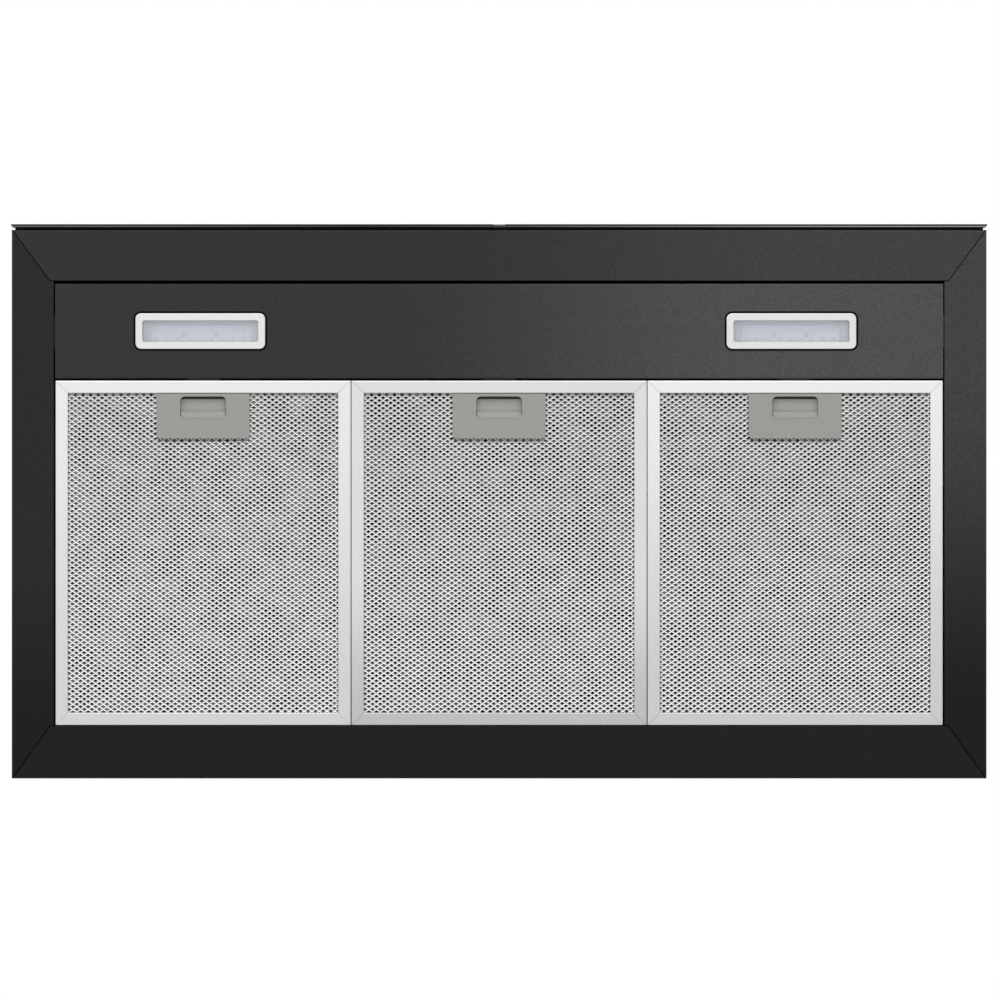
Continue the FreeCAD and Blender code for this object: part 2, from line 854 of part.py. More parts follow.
def latch_cover(x):
    """Fixed plastic cover: a plate with the finger window, and the box that guides the slider."""
    half = latch_width / 2
    radii = [0, 0, latch_corner, latch_corner]
    front, rear = latch_plate_front, latch_plate_rear
    plate = rounded_plate(x - half, x + half, front, rear, latch_recess, latch_plate_top, radii)
    window = rounded_plate(
        x - window_width / 2,
        x + window_width / 2,
        window_front,
        window_rear,
        -latch_plate,
        2 * latch_plate_top,
        window_corner,
    )
    box_half = latch_box_width / 2
    front, rear = latch_box_front, latch_box_rear
    outside = block(x - box_half, x + box_half, front, rear, latch_plate_top, latch_box_top)
    inside = block(
        x - box_half + latch_wall,
        x + box_half - latch_wall,
        front + latch_wall,
        rear - latch_wall,
        latch_plate_top,
        latch_box_top,
    )
    slot_half = tongue_width / 2 + catch_gap
    slot = block(
        x - slot_half,
        x + slot_half,
        front - latch_wall,
        front + 2 * latch_wall,
        slider_top - tongue_depth - catch_gap,
        slider_top + fit_gap,
    )
    over_lip = block(
        x - box_half, x + box_half, front, latch_plate_front, latch_plate_top, filter_lip + fit_gap
    )
    shapes = [plate.cut(window), outside.cut(inside).cut(slot).cut(over_lip)]
    for side in sides.values():
        wall = box_half - latch_wall
        x0, x1 = sorted((x + side * (wall - ledge_width), x + side * wall))
        low = slider_top + fit_gap
        shapes.append(block(x0, x1, front + latch_wall, rear - latch_wall, low, latch_box_top))
    return joined(shapes)


def latch_slider(x):
    """Sliding latch: pocket floor, pull step, side runners and the tongue."""
    floor = block(x - slider_half, x + slider_half, slider_front, slider_rear, slider_floor_level, slider_top)
    tongue = block(
        x - tongue_width / 2,
        x + tongue_width / 2,
        filter_front - tongue_reach,
        slider_front + latch_wall,
        slider_top - tongue_depth,
        slider_top,
    )
    nose = edges_at(tongue, ("Y", filter_front - tongue_reach), ("Z", slider_top))
    tongue = tongue.makeChamfer(edge_size(tongue_slant, tongue_depth), nose)
    step_half = window_width / 2 - 2 * fit_gap
    step_front = window_rear - pull_step
    step = block(x - step_half, x + step_half, step_front, slider_rear, slider_low, slider_floor_level)
    shapes = [floor, tongue, step]
    for side in sides.values():
        x0, x1 = sorted((x + side * (slider_half - runner_width), x + side * slider_half))
        shapes.append(block(x0, x1, window_front, slider_rear, slider_low, slider_floor_level))
    return joined(shapes)


def latch_spring(x):
    """A bowed leaf spring between the slider and the rear wall of the box."""
    wall = latch_box_rear - latch_wall - fit_gap
    bow = wall - slider_rear - fit_gap
    radius = ((spring_span / 2) ** 2 + bow**2) / (2 * bow)
    middle = (slider_low + slider_top) / 2
    low = V(x, slider_rear + fit_gap + radius, middle - spring_height / 2)
    lift = V(0, 0, spring_height)
    ring = rod(low, low + lift, radius).cut(rod(low, low + lift, radius - spring_strip))
    return ring.common(block(x - spring_span, x + spring_span, slider_rear, wall, 0, filter_height))


# Chimney
def chimney_cover(half, front, back, low, high):
    """A three sided cover whose rear edges turn in along the wall."""
    outer = [
        (-half + return_width, back),
        (-half, back),
        (-half, front),
        (half, front),
        (half, back),
        (half - return_width, back),
    ]
    mirrored = [(x, -y) for x, y in outer]
    points, radii = folded_strip(mirrored, sheet, fold_radius)
    return prism([(x, -y) for x, y in points], radii, at_height(low), V(0, 0, high - low))


def lower_chimney_cover():
    cover = chimney_cover(chimney_width / 2, -chimney_depth, 0, lower_cover_bottom, lower_cover_top)
    return with_screw_holes(cover, chimney_screw_places)


def upper_chimney_cover():
    cover = chimney_cover(upper_half, upper_front, upper_back, upper_cover_bottom, upper_cover_top)
    return with_screw_holes(cover, bracket_screw_places)


def chimney_wall_bracket():
    """U shaped strip screwed to the wall, whose arms hold the upper cover."""
    arm = upper_half - sheet - fit_gap
    stand = bracket_stand
    foot = upper_half - return_width - bracket_joggle
    outer = [
        (-arm, stand - bracket_arm),
        (-arm, stand),
        (-foot - bracket_joggle / 2, stand),
        (-foot + bracket_joggle / 2, 0),
        (foot - bracket_joggle / 2, 0),
        (foot + bracket_joggle / 2, stand),
        (arm, stand),
        (arm, stand - bracket_arm),
    ]
    low = bracket_mid - bracket_height / 2
    strip = folded_sheet(outer, bracket_sheet, fold_radius, at_height(low), V(0, 0, bracket_height))
    strip = with_screw_holes(strip, bracket_screw_places)
    for side in sides.values():
        hole = V(side * bracket_hole_spacing / 2, 0, bracket_mid)
        strip = strip.cut(through_hole(hole, V(0, 1, 0), cut_reach, bracket_hole_radius))
    return strip


# Fan box and scroll
def fan_support_frame():
    """Angle frame inside the chimney collar that carries the fan box."""
    half = collar_half - sheet
    front, back = -collar_depth + sheet, -sheet
    outside = block(-half, half, front, back, support_bottom, fan_box_bottom + support_lip)
    lip = half - sheet
    inside = block(-lip, lip, front + sheet, back - sheet, fan_box_bottom, 2 * fan_box_bottom)
    ledge = half - support_ledge
    end_ledge = support_ledge / 2
    opening = block(-ledge, ledge, front + end_ledge, back - end_ledge, 0, 2 * collar_top)
    frame = with_screw_holes(outside.cut(inside).cut(opening), fan_screw_places)
    return with_screw_holes(frame, chimney_screw_places)


def fan_box():
    """Top and sides of the fan box folded from one sheet, with feet turned in."""
    foot = fan_box_half - fan_box_flange
    outer = [
        (-foot, fan_box_bottom),
        (-fan_box_half, fan_box_bottom),
        (-fan_box_half, fan_box_top),
        (fan_box_half, fan_box_top),
        (fan_box_half, fan_box_bottom),
        (foot, fan_box_bottom),
    ]
    length = fan_box_rear - fan_box_front
    shape = folded_sheet(outer, sheet, fold_radius, seen_from_front(fan_box_front), V(0, length, 0))
    outlet = V(outlet_x, fan_mid, fan_box_top)
    shape = shape.cut(through_hole(outlet, V(0, 0, 1), cut_reach, collar_radius - collar_wall))
    shape = with_screw_holes(shape, fan_screw_places, screw_grip)
    return with_screw_holes(shape, collar_screw_places, screw_grip)


def fan_box_cover(plane, inward):
    """A pan that closes one end of the fan box and laps over its top and sides."""
    half = fan_box_half + fit_gap + sheet
    top = fan_box_top + fit_gap + sheet
    y0, y1 = sorted((plane - inward * sheet, plane + inward * cover_lip))
    outside = block(-half, half, y0, y1, fan_box_bottom, top)
    y0, y1 = sorted((plane, plane + inward * cover_lip))
    return outside.cut(block(-half + sheet, half - sheet, y0, y1, fan_box_bottom, top - sheet))


def scroll_outline(inset, top):
    """Outline of the scroll: three quarter arcs of growing radius and the outlet neck."""
    half = scroll_growth / 2
    centers = [
        (axle_x - half, axle_z - half),
        (axle_x + half, axle_z - half),
        (axle_x + half, axle_z + half),
    ]
    radii = [scroll_start_radius + i * scroll_growth - inset for i in range(3)]
    left, right = neck_left + inset, neck_right - inset
    start = math.degrees(math.acos((left - centers[0][0]) / radii[0]))
    spans = [(start, 180), (180, 270), (270, 360)]

    def point(i, degrees):
        turn = math.radians(degrees)
        return V(centers[i][0] + radii[i] * math.cos(turn), 0, centers[i][1] + radii[i] * math.sin(turn))

    edges = []
    for i, (a, b) in enumerate(spans):
        edges.append(Part.Arc(point(i, a), point(i, (a + b) / 2), point(i, b)).toShape())
    corners = [point(2, 360), V(right, 0, top), V(left, 0, top), point(0, start)]
    for a, b in zip(corners, corners[1:]):
        edges.append(Part.LineSegment(a, b).toShape())
    return Part.Face(Part.Wire(edges))


def scroll_half(way):
    """One half of the scroll, from the seam at the middle to the inlet wall."""
    reach = scroll_width / 2

    def slab(inset, top, near, far):
        face = scroll_outline(inset, top)
        face.translate(V(0, fan_mid + way * near, 0))
        return face.extrude(V(0, way * (far - near), 0))

    shell = slab(0, scroll_top, 0, reach).fuse(slab(-scroll_seam_flange, scroll_top, 0, scroll_wall))
    shell = shell.cut(slab(scroll_wall, 2 * scroll_top, 0, reach - scroll_wall))
    eye = V(axle_x, fan_mid + way * reach, axle_z)
    inner = V(axle_x, fan_mid + way * (reach - scroll_wall - inlet_lip), axle_z)
    beyond = V(axle_x, fan_mid + way * (reach + scroll_wall), axle_z)
    shell = shell.fuse(rod(eye, inner, inlet_radius + scroll_wall))
    return shell.cut(rod(beyond, inner - V(0, way * scroll_wall, 0), inlet_radius)).removeSplitter()


# Impeller and motor
def impeller():
    """Double inlet drum: a wide ring whose slots leave forward curved blades, on a disc with a hub."""
    half = scroll_width / 2 - scroll_wall - impeller_end_room
    inner_radius = impeller_radius - blade_depth
    center = V(axle_x, fan_mid, axle_z)
    ends = [center + V(0, way * half, 0) for way in (-1, 1)]
    drum = rod(ends[0], ends[1], impeller_radius).cut(rod(ends[0], ends[1], inner_radius))
    disc = [center + V(0, way * impeller_disc / 2, 0) for way in (-1, 1)]
    hub = [center - V(0, hub_length, 0), center + V(0, impeller_disc / 2, 0)]
    pitch = 360 / blade_count
    web = math.degrees(blade_thickness / impeller_radius)
    over = blade_cut_over

    def blade_arc(y, start):
        spots = []
        for share in (0, 0.5, 1):
            radius = inner_radius - over + share * (blade_depth + 2 * over)
            lag = blade_sweep * (share - blade_camber * 4 * share * (1 - share))
            turn = math.radians(start + lag)
            spots.append(V(axle_x + radius * math.cos(turn), y, axle_z + radius * math.sin(turn)))
        return spots

    slots = []
    for near, far in ((-half + impeller_ring, -impeller_disc / 2), (impeller_disc / 2, half - impeller_ring)):
        y = fan_mid + near
        for i in range(blade_count):
            one = blade_arc(y, i * pitch + web / 2)
            two = blade_arc(y, (i + 1) * pitch - web / 2)
            edges = [
                Part.Arc(*one).toShape(),
                Part.LineSegment(one[2], two[2]).toShape(),
                Part.Arc(*two[::-1]).toShape(),
                Part.LineSegment(two[0], one[0]).toShape(),
            ]
            slots.append(Part.Face(Part.Wire(edges)).extrude(V(0, far - near, 0)))
    drum = drum.cut(Part.makeCompound(slots))
    solid = joined([drum, rod(disc[0], disc[1], impeller_radius), rod(hub[0], hub[1], hub_radius)])
    return solid.cut(through_hole(center, V(0, 1, 0), 2 * hub_length, shaft_radius + bearing_gap))


motor_front = fan_mid + impeller_disc / 2 + motor_front_room
motor_rear = motor_front + motor_length


def motor_shaft():
    start = V(axle_x, fan_mid - hub_length, axle_z)
    return rod(start, V(axle_x, motor_front + shaft_depth, axle_z), shaft_radius)


def motor_body():
    """Motor can with slanted ends, cooling ribs and the shaft's bearing bore."""
    front, rear = V(axle_x, motor_front, axle_z), V(axle_x, motor_rear, axle_z)
    can = rod(front, rear, motor_radius - motor_rib)
    rims = [e for e in can.Edges if len(e.Vertexes) == 1]
    shapes = [can.makeChamfer(motor_edge, rims)]
    for i in range(motor_rib_count):
        rib = block(
            axle_x - motor_rib,
            axle_x + motor_rib,
            motor_front + motor_edge,
            motor_rear - motor_edge,
            axle_z + motor_radius - motor_rib_root,
            axle_z + motor_radius,
        )
        rib.rotate(front, V(0, 1, 0), i * 360 / motor_rib_count)
        shapes.append(rib)
    bore_end = front + V(0, shaft_depth + shaft_end_room, 0)
    return joined(shapes).cut(rod(front - V(0, motor_edge, 0), bore_end, shaft_radius + bearing_gap))


def motor_bracket():
    """Spider on the rear inlet that carries the motor."""
    seat = fan_mid + scroll_width / 2
    center = V(axle_x, seat, axle_z)
    shapes = [
        rod(center, center + V(0, bracket_plate, 0), bracket_hub_radius),
        rod(V(axle_x, motor_rear, axle_z), center + V(0, bracket_plate, 0), hub_radius),
    ]
    for i in range(bracket_arm_count):
        arm = block(
            axle_x,
            axle_x + inlet_radius + bracket_overlap,
            seat,
            seat + bracket_plate,
            axle_z - bracket_arm_width / 2,
            axle_z + bracket_arm_width / 2,
        )
        arm.rotate(center, V(0, 1, 0), (i + 0.5) * 360 / bracket_arm_count)
        shapes.append(arm)
    return joined(shapes)


# Outlet collar and damper
def outlet_collar():
    """Flanged ring for the duct, with holes for the damper pin and two stops for the flaps."""
    base = fan_box_top
    inner = collar_radius - collar_wall
    profile = [
        (inner, base),
        (collar_radius + collar_flange, base),
        (collar_radius + collar_flange, base + collar_wall),
        (collar_radius + fold_radius, base + collar_wall),
        (collar_radius, base + collar_wall + fold_radius),
        (collar_radius, base + collar_height),
        (inner, base + collar_height),
    ]
    face = Part.Face(closed_wire(profile, 0, lambda a, b: V(outlet_x + a, fan_mid, b)))
    ring = face.revolve(V(outlet_x, fan_mid, 0), V(0, 0, 1), 360)
    pin_mid = V(outlet_x, fan_mid, pin_z)
    hole = through_hole(pin_mid, V(0, 1, 0), 2 * collar_radius, pin_radius + bearing_gap)
    stop_top = pin_z - flap_thickness / 2 - fit_gap
    shapes = [ring]
    for side in sides.values():
        root = inner + collar_wall / 2
        x0, x1 = sorted((outlet_x + side * (inner - flap_stop), outlet_x + side * root))
        y0, y1 = fan_mid - flap_stop, fan_mid + flap_stop
        shapes.append(block(x0, x1, y0, y1, stop_top - flap_stop, stop_top))
    return with_screw_holes(joined(shapes).cut(hole), collar_screw_places, screw_grip)


def damper_pin():
    reach = collar_radius - fit_gap
    return rod(V(outlet_x, fan_mid - reach, pin_z), V(outlet_x, fan_mid + reach, pin_z), pin_radius)


def damper_flap(side):
    """Half disc with knuckles on the pin, which alternate with those of the other flap."""
    inner = collar_radius - collar_wall
    radius = inner - flap_gap
    knuckle = pin_radius + bearing_gap + knuckle_wall
    low = pin_z - flap_thickness / 2
    disc = Part.makeCylinder(radius, flap_thickness, V(outlet_x, fan_mid, low))
    x0, x1 = sorted((outlet_x + side * (knuckle + knuckle_gap), outlet_x + side * radius))
    shapes = [disc.common(block(x0, x1, fan_mid - radius, fan_mid + radius, low, low + flap_thickness))]
    reach = math.sqrt(radius**2 - (knuckle + knuckle_gap) ** 2) - flap_gap
    length = 2 * reach / knuckle_count
    for i in range(knuckle_count):
        if (i % 2 == 0) != (side > 0):
            continue
        y0 = fan_mid - reach + i * length + knuckle_gap / 2
        y1 = y0 + length - knuckle_gap
        shapes.append(rod(V(outlet_x, y0, pin_z), V(outlet_x, y1, pin_z), knuckle))
        x0, x1 = sorted((outlet_x, outlet_x + side * (knuckle + 2 * knuckle_gap)))
        shapes.append(block(x0, x1, y0, y1, low, low + flap_thickness))
    pin_mid = V(outlet_x, fan_mid, pin_z)
    return joined(shapes).cut(through_hole(pin_mid, V(0, 1, 0), radius, pin_radius + bearing_gap))


# Electrical pieces
def control_box():
    """Plastic tray on the back panel, open to the front."""
    x0, x1 = -control_box_offset - control_box_width / 2, -control_box_offset + control_box_width / 2
    y0, y1 = -sheet - control_box_depth, -sheet
    z0, z1 = control_box_floor, control_box_floor + control_box_height
    wall = control_box_wall
    hollow = block(x0 + wall, x1 - wall, y0, y1 - wall, z0 + wall, z1 - wall)
    tray = block(x0, x1, y0, y1, z0, z1).cut(hollow)
    entry = V(-control_box_offset, -sheet - control_box_depth / 2, z1)
    return tray.cut(rod(entry - V(0, 0, 2 * wall), entry + V(0, 0, wall), gland_bore))


def control_box_lid():
    x0, x1 = -control_box_offset - control_box_width / 2, -control_box_offset + control_box_width / 2
    y1 = -sheet - control_box_depth
    z0, z1 = control_box_floor, control_box_floor + control_box_height
    place = seen_from_front(y1 - lid_thickness)
    lid = prism(rectangle(x0, x1, z0, z1), control_box_wall, place, V(0, lid_thickness, 0))
    wall = control_box_wall + fit_gap
    lip = block(x0 + wall, x1 - wall, y1, y1 + lid_thickness, z0 + wall, z1 - wall)
    inside = wall + control_box_wall
    hollow = block(x0 + inside, x1 - inside, y1, y1 + lid_thickness, z0 + inside, z1 - inside)
    return lid.fuse(lip.cut(hollow)).removeSplitter()


def mains_gland():
    """Cable gland on top of the control box: hexagon collar, dome and bore."""
    base = V(-control_box_offset, -sheet - control_box_depth / 2, control_box_floor + control_box_height)
    corner = gland_radius / math.cos(math.pi / 6)
    turns = [i * math.pi / 3 for i in range(6)]
    hexagon = [(base.x + corner * math.cos(t), base.y + corner * math.sin(t)) for t in turns]
    collar = prism(hexagon, 0, at_height(base.z), V(0, 0, gland_collar))
    dome_radius = gland_radius - gland_step
    dome = rod(base, base + V(0, 0, gland_height), dome_radius)
    top = [e for e in dome.Edges if len(e.Vertexes) == 1 and e.CenterOfMass.z > base.z + gland_collar]
    dome = dome.makeChamfer(dome_radius - gland_bore - gland_step, top)
    bore = rod(base - V(0, 0, gland_height), base + V(0, 0, 2 * gland_height), gland_bore)
    return collar.fuse(dome).cut(bore).removeSplitter()


def run_capacitor():
    """Capacitor can on a stud, its base against the back panel."""
    z = control_box_floor + control_box_height / 2
    base = V(capacitor_offset, -sheet, z)
    can = rod(base, base - V(0, capacitor_length, 0), capacitor_radius)
    rims = [e for e in can.Edges if len(e.Vertexes) == 1]
    return can.makeChamfer(capacitor_edge, rims)


# Canopy and front
save("front_canopy_sheet", front_sheet())
for name, side in sides.items():
    save(name + "_canopy_sheet", side_sheet(side))
save("back_panel", back_panel())
save("glass_fascia", glass_fascia())
save("sensor_window", sensor_window())
save("fascia_tape", fascia_tape())
save("touch_board", touch_board())

# Lamps
save("lamp_panel", lamp_panel())
for name, lamp_x in lamp_places.items():
    save("lamp_bezel_" + name, lamp_bezel(lamp_x))
    save("lamp_lens_" + name, lamp_lens(lamp_x))
    save("lamp_housing_" + name, lamp_housing(lamp_x))
    save("led_board_" + name, led_board(lamp_x))

# Filters and latches
for i, name in enumerate(filter_names):
    x = filter_x(i)
    save("filter_frame_" + name, filter_frame(x))
    save("filter_mesh_" + name, outer_net(x))
    save("filter_core_" + name, inner_net(x))
    save("latch_cover_" + name, latch_cover(x))
    save("latch_spring_" + name, latch_spring(x))
    save("latch_slider_" + name, latch_slider(x))

# Fan
save("fan_support_frame", fan_support_frame())
save("fan_box", fan_box())
save("fan_box_front_cover", fan_box_cover(fan_box_front, 1))
save("fan_box_rear_cover", fan_box_cover(fan_box_rear, -1))
save("scroll_front_half", scroll_half(-1))
save("scroll_rear_half", scroll_half(1))
save("impeller", impeller())
save("motor_shaft", motor_shaft())
save("motor_body", motor_body())
save("motor_bracket", motor_bracket())
save("outlet_collar", outlet_collar())
save("damper_pin", damper_pin())
for name, side in sides.items():
    save("damper_flap_" + name, damper_flap(side))
save("control_box", control_box())
save("control_box_lid", control_box_lid())
save("mains_gland", mains_gland())
save("run_capacitor", run_capacitor())

# Chimney
save("lower_chimney_cover", lower_chimney_cover())
save("upper_chimney_cover", upper_chimney_cover())
save("chimney_wall_bracket", chimney_wall_bracket())

# Screws
save("chimney_screws", screw_group(chimney_screw_places))
save("fan_box_screws", screw_group(fan_screw_places))
save("collar_screws", screw_group(collar_screw_places))
save("bracket_screws", screw_group(bracket_screw_places))
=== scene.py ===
# %% [markdown]
# # A chimney range hood, seen from below
# The hood hangs on a wall and the picture looks straight up at its underside: black folded sheets,
# two lamps and three grease filters of expanded aluminium. The solids come in as a fixed frame, already
# at their real size, so nothing here moves them. This lesson dresses them: it adds the pieces that are
# too fine for solids, such as the expanded mesh, and gives every surface its finish.

# %% The frame
import math

import bmesh
import bpy
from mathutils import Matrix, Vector


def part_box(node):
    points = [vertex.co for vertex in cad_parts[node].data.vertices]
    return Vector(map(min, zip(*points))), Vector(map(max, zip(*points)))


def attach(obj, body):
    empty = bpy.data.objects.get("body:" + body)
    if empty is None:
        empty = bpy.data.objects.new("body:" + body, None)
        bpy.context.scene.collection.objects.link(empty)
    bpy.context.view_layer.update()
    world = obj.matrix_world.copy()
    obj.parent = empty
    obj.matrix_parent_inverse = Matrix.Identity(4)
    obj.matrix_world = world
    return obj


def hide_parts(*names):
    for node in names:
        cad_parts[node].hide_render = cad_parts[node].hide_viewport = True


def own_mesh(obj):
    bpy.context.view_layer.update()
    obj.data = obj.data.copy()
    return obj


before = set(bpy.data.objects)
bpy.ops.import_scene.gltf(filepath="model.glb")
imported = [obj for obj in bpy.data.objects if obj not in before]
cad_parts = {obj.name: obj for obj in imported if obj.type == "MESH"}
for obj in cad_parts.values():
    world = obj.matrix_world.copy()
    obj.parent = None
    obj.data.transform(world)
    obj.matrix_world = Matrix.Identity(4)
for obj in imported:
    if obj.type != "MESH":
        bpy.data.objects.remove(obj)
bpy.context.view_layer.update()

mm = 0.001

# %% [markdown]
# The photograph was taken from far below with a long lens, so it has next to no perspective. A camera
# five metres under the hood does the same. It could also be an orthographic camera, but a real lens
# keeps the slight view into the lamp wells. One picture pixel is a bit under a millimetre of the hood.

# %% The camera
picture_pixels = 1000
pixel_size = 0.923 * mm
camera_distance = 5.0
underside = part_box("front_canopy_sheet")[0][2]
picture_centre = Vector((0.8 * mm, -257.1 * mm, underside))
sensor_width = 36.0
view_limit = 100.0

bpy.ops.object.select_all(action="DESELECT")
bpy.ops.object.camera_add(
    location=picture_centre - Vector((0, 0, camera_distance)),
    rotation=(math.pi, 0, 0),
)
camera = bpy.context.object
camera.name = "camera_below"
camera.data.sensor_width = sensor_width
camera.data.lens = sensor_width * camera_distance / (picture_pixels * pixel_size)
camera.data.clip_end = view_limit
bpy.context.scene.camera = camera
bpy.context.scene.view_settings.view_transform = "Standard"
print("camera lens", round(camera.data.lens, 1), "mm at", camera_distance, "m")

# %% [markdown]
# Colours are written as the sRGB hex values that a paint card or a picture shows. Blender mixes light
# in linear values, so one function turns a hex value into a linear colour. A second small function adds
# one node to a material or to the world, sets its options, fills its sockets with a value or with a
# link from another node, and links its output on to a socket. All finishes below are built from these.


# %% Colours and nodes
def linear(hex_colour):
    channels = []
    for start in (1, 3, 5):
        share = int(hex_colour[start:start + 2], 16) / 255
        channels.append(share / 12.92 if share <= 0.04045 else ((share + 0.055) / 1.055) ** 2.4)
    return (*channels, 1.0)


def add(owner, kind, options, inputs, to=None, output=0):
    tree = owner.node_tree
    node = tree.nodes.new(kind)
    for name, value in options.items():
        setattr(node, name, value)
    for name, value in inputs.items():
        if isinstance(value, bpy.types.NodeSocket):
            tree.links.new(value, node.inputs[name])
        else:
            node.inputs[name].default_value = value
    if to is not None:
        tree.links.new(node.outputs[output], to)
    return node


print("mid grey #808080 is", round(linear("#808080")[0], 3), "in linear light")

# %% [markdown]
# The hood hangs over a pale floor, as it would in a kitchen, and gets some light back from it. The
# camera is below that floor, so the floor is seen through from underneath: its back faces are
# transparent. The floor could be hidden from the camera instead, but then no view would have a ground.

# %% The floor
floor_place = (0, -2.0, -1.7)
floor_size = 120.0

bpy.ops.object.select_all(action="DESELECT")
bpy.ops.mesh.primitive_plane_add(size=floor_size, location=floor_place)
floor = bpy.context.object
floor.name = "floor"

# Matt paint gives the eye an even pale grey with no shine.
floor_paint = bpy.data.materials.new("matt_floor_paint")
floor_paint.use_nodes = True
floor_shader = floor_paint.node_tree.nodes["Principled BSDF"]
floor_shader.inputs["Base Color"].default_value = linear("#E9E9E9")
floor_shader.inputs["Roughness"].default_value = 0.9
floor_shader.inputs["Specular IOR Level"].default_value = 0.1
floor_side = add(floor_paint, "ShaderNodeNewGeometry", {}, {})
floor_clear = add(floor_paint, "ShaderNodeBsdfTransparent", {}, {})
add(floor_paint, "ShaderNodeMixShader", {}, {
    0: floor_side.outputs["Backfacing"],
    1: floor_shader.outputs[0],
    2: floor_clear.outputs[0],
}, to=floor_paint.node_tree.nodes["Material Output"].inputs["Surface"])
floor.data.materials.append(floor_paint)
print("floor at", floor_place[2], "m")

# %% [markdown]
# Everything behind the hood is white, both for the camera and for what metal and glass mirror, and a
# little dimmer as a fill light. It could be a white wall, but that would throw the lamps' light back.
# The Light Path node tells the rays apart, so one world does both.

# %% The surroundings
fill_strength = 0.85

surroundings = bpy.data.worlds.new("white_studio")
bpy.context.scene.world = surroundings
surroundings.use_nodes = True
rays = add(surroundings, "ShaderNodeLightPath", {}, {})
seen = add(surroundings, "ShaderNodeMath", {"operation": "MAXIMUM"}, {
    0: rays.outputs["Is Camera Ray"],
    1: rays.outputs["Is Glossy Ray"],
})
seen_or_through = add(surroundings, "ShaderNodeMath", {"operation": "MAXIMUM"}, {
    0: seen.outputs[0],
    1: rays.outputs["Is Transmission Ray"],
})
background = surroundings.node_tree.nodes["Background"]
background.inputs["Color"].default_value = linear("#FFFFFF")
add(surroundings, "ShaderNodeMapRange", {}, {
    "Value": seen_or_through.outputs[0],
    "To Min": fill_strength,
    "To Max": 1.0,
}, to=background.inputs["Strength"])
print("fill light", fill_strength, "of white")

# %% [markdown]
# Three soft lamps light the hood. A long one in front of it stands low and shines up at the underside.
# The tipped strands of the mesh mirror it, and the front edge of each latch window throws a thin shadow.
# It is longer than the hood, so that strands that lean to the left or right find it too. The other two,
# at the left and under the ceiling, keep the sides and the chimney from going flat from the room.

# %% The lamps
lamp_aim = Vector((0, -0.26, underside))


def soft_lamp(name, place, size, power):
    bpy.ops.object.light_add(type="AREA", location=place)
    lamp = bpy.context.object
    lamp.name = name
    lamp.data.shape = "RECTANGLE"
    lamp.data.size, lamp.data.size_y = size
    lamp.data.energy = power
    lamp.rotation_euler = (lamp_aim - Vector(place)).to_track_quat("-Z", "Y").to_euler()
    lamp.visible_camera = False


soft_lamp("front_softbox", place=(0.0, -2.3, -1.35), size=(4.2, 0.6), power=19.8)
soft_lamp("left_softbox", place=(-1.9, -1.2, -0.3), size=(1.0, 1.0), power=6.0)
soft_lamp("ceiling_softbox", place=(-0.8, -2.4, 2.2), size=(1.6, 1.2), power=45.0)

# %% [markdown]
# Every finish starts the same way: a Principled shader with a typical roughness and metallic value, and
# Object coordinates, which are metres of the real hood, to place its pattern. Patterns that roughen a
# surface go through a Bump node, whose distance is the real depth of the pattern. Where a piece reaches
# into a joint that lies in shade, that part of it is painted black: painted shade.


# %% The start of a finish
def new_finish(name, colour, roughness, metallic=0.0, specular=0.5):
    material = bpy.data.materials.new(name)
    material.use_nodes = True
    shader = material.node_tree.nodes["Principled BSDF"]
    shader.inputs["Base Color"].default_value = linear(colour)
    shader.inputs["Roughness"].default_value = roughness
    shader.inputs["Metallic"].default_value = metallic
    shader.inputs["Specular IOR Level"].default_value = specular
    place = add(material, "ShaderNodeTexCoord", {}, {}).outputs["Object"]
    return material, shader, place


def dress(material, *nodes):
    for node in nodes:
        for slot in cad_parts[node].material_slots:
            slot.material = material
    print(material.name, "on", len(nodes), "nodes")


# Black for the parts of pieces that lie in shaded joints: painted shade.
painted_joint_shade = "#0C0C0C"
print("nodes to dress:", len(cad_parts))

# %% [markdown]
# The canopy and the chimney are folded steel with a baked black powder coat. Powder melts into a skin
# with a fine orange peel, which gives the eye a soft black with wide, dull highlights and a faint grain.
# The peel is about half a millimetre from lump to lump. That is finer than a pixel, so it is drawn three
# times as coarse to show at all, both as a bump and as a speckle in the tone.
#
# Each sheet has its own gloss. Its tone is painted light and shade: each sheet has a tone of its own,
# and the tone drifts from one end to the other, lighter where the light falls on the underside and darker
# where it falls off, over a stretch of the sheet that is given as shares of its length.

# %% Powder coat
peel_size = 1.7 * mm
peel_depth = 0.06 * mm
speckle = 0.28
speckle_range = (0.3, 0.7)
coat_roughness = 0.48
axis_names = "XYZ"


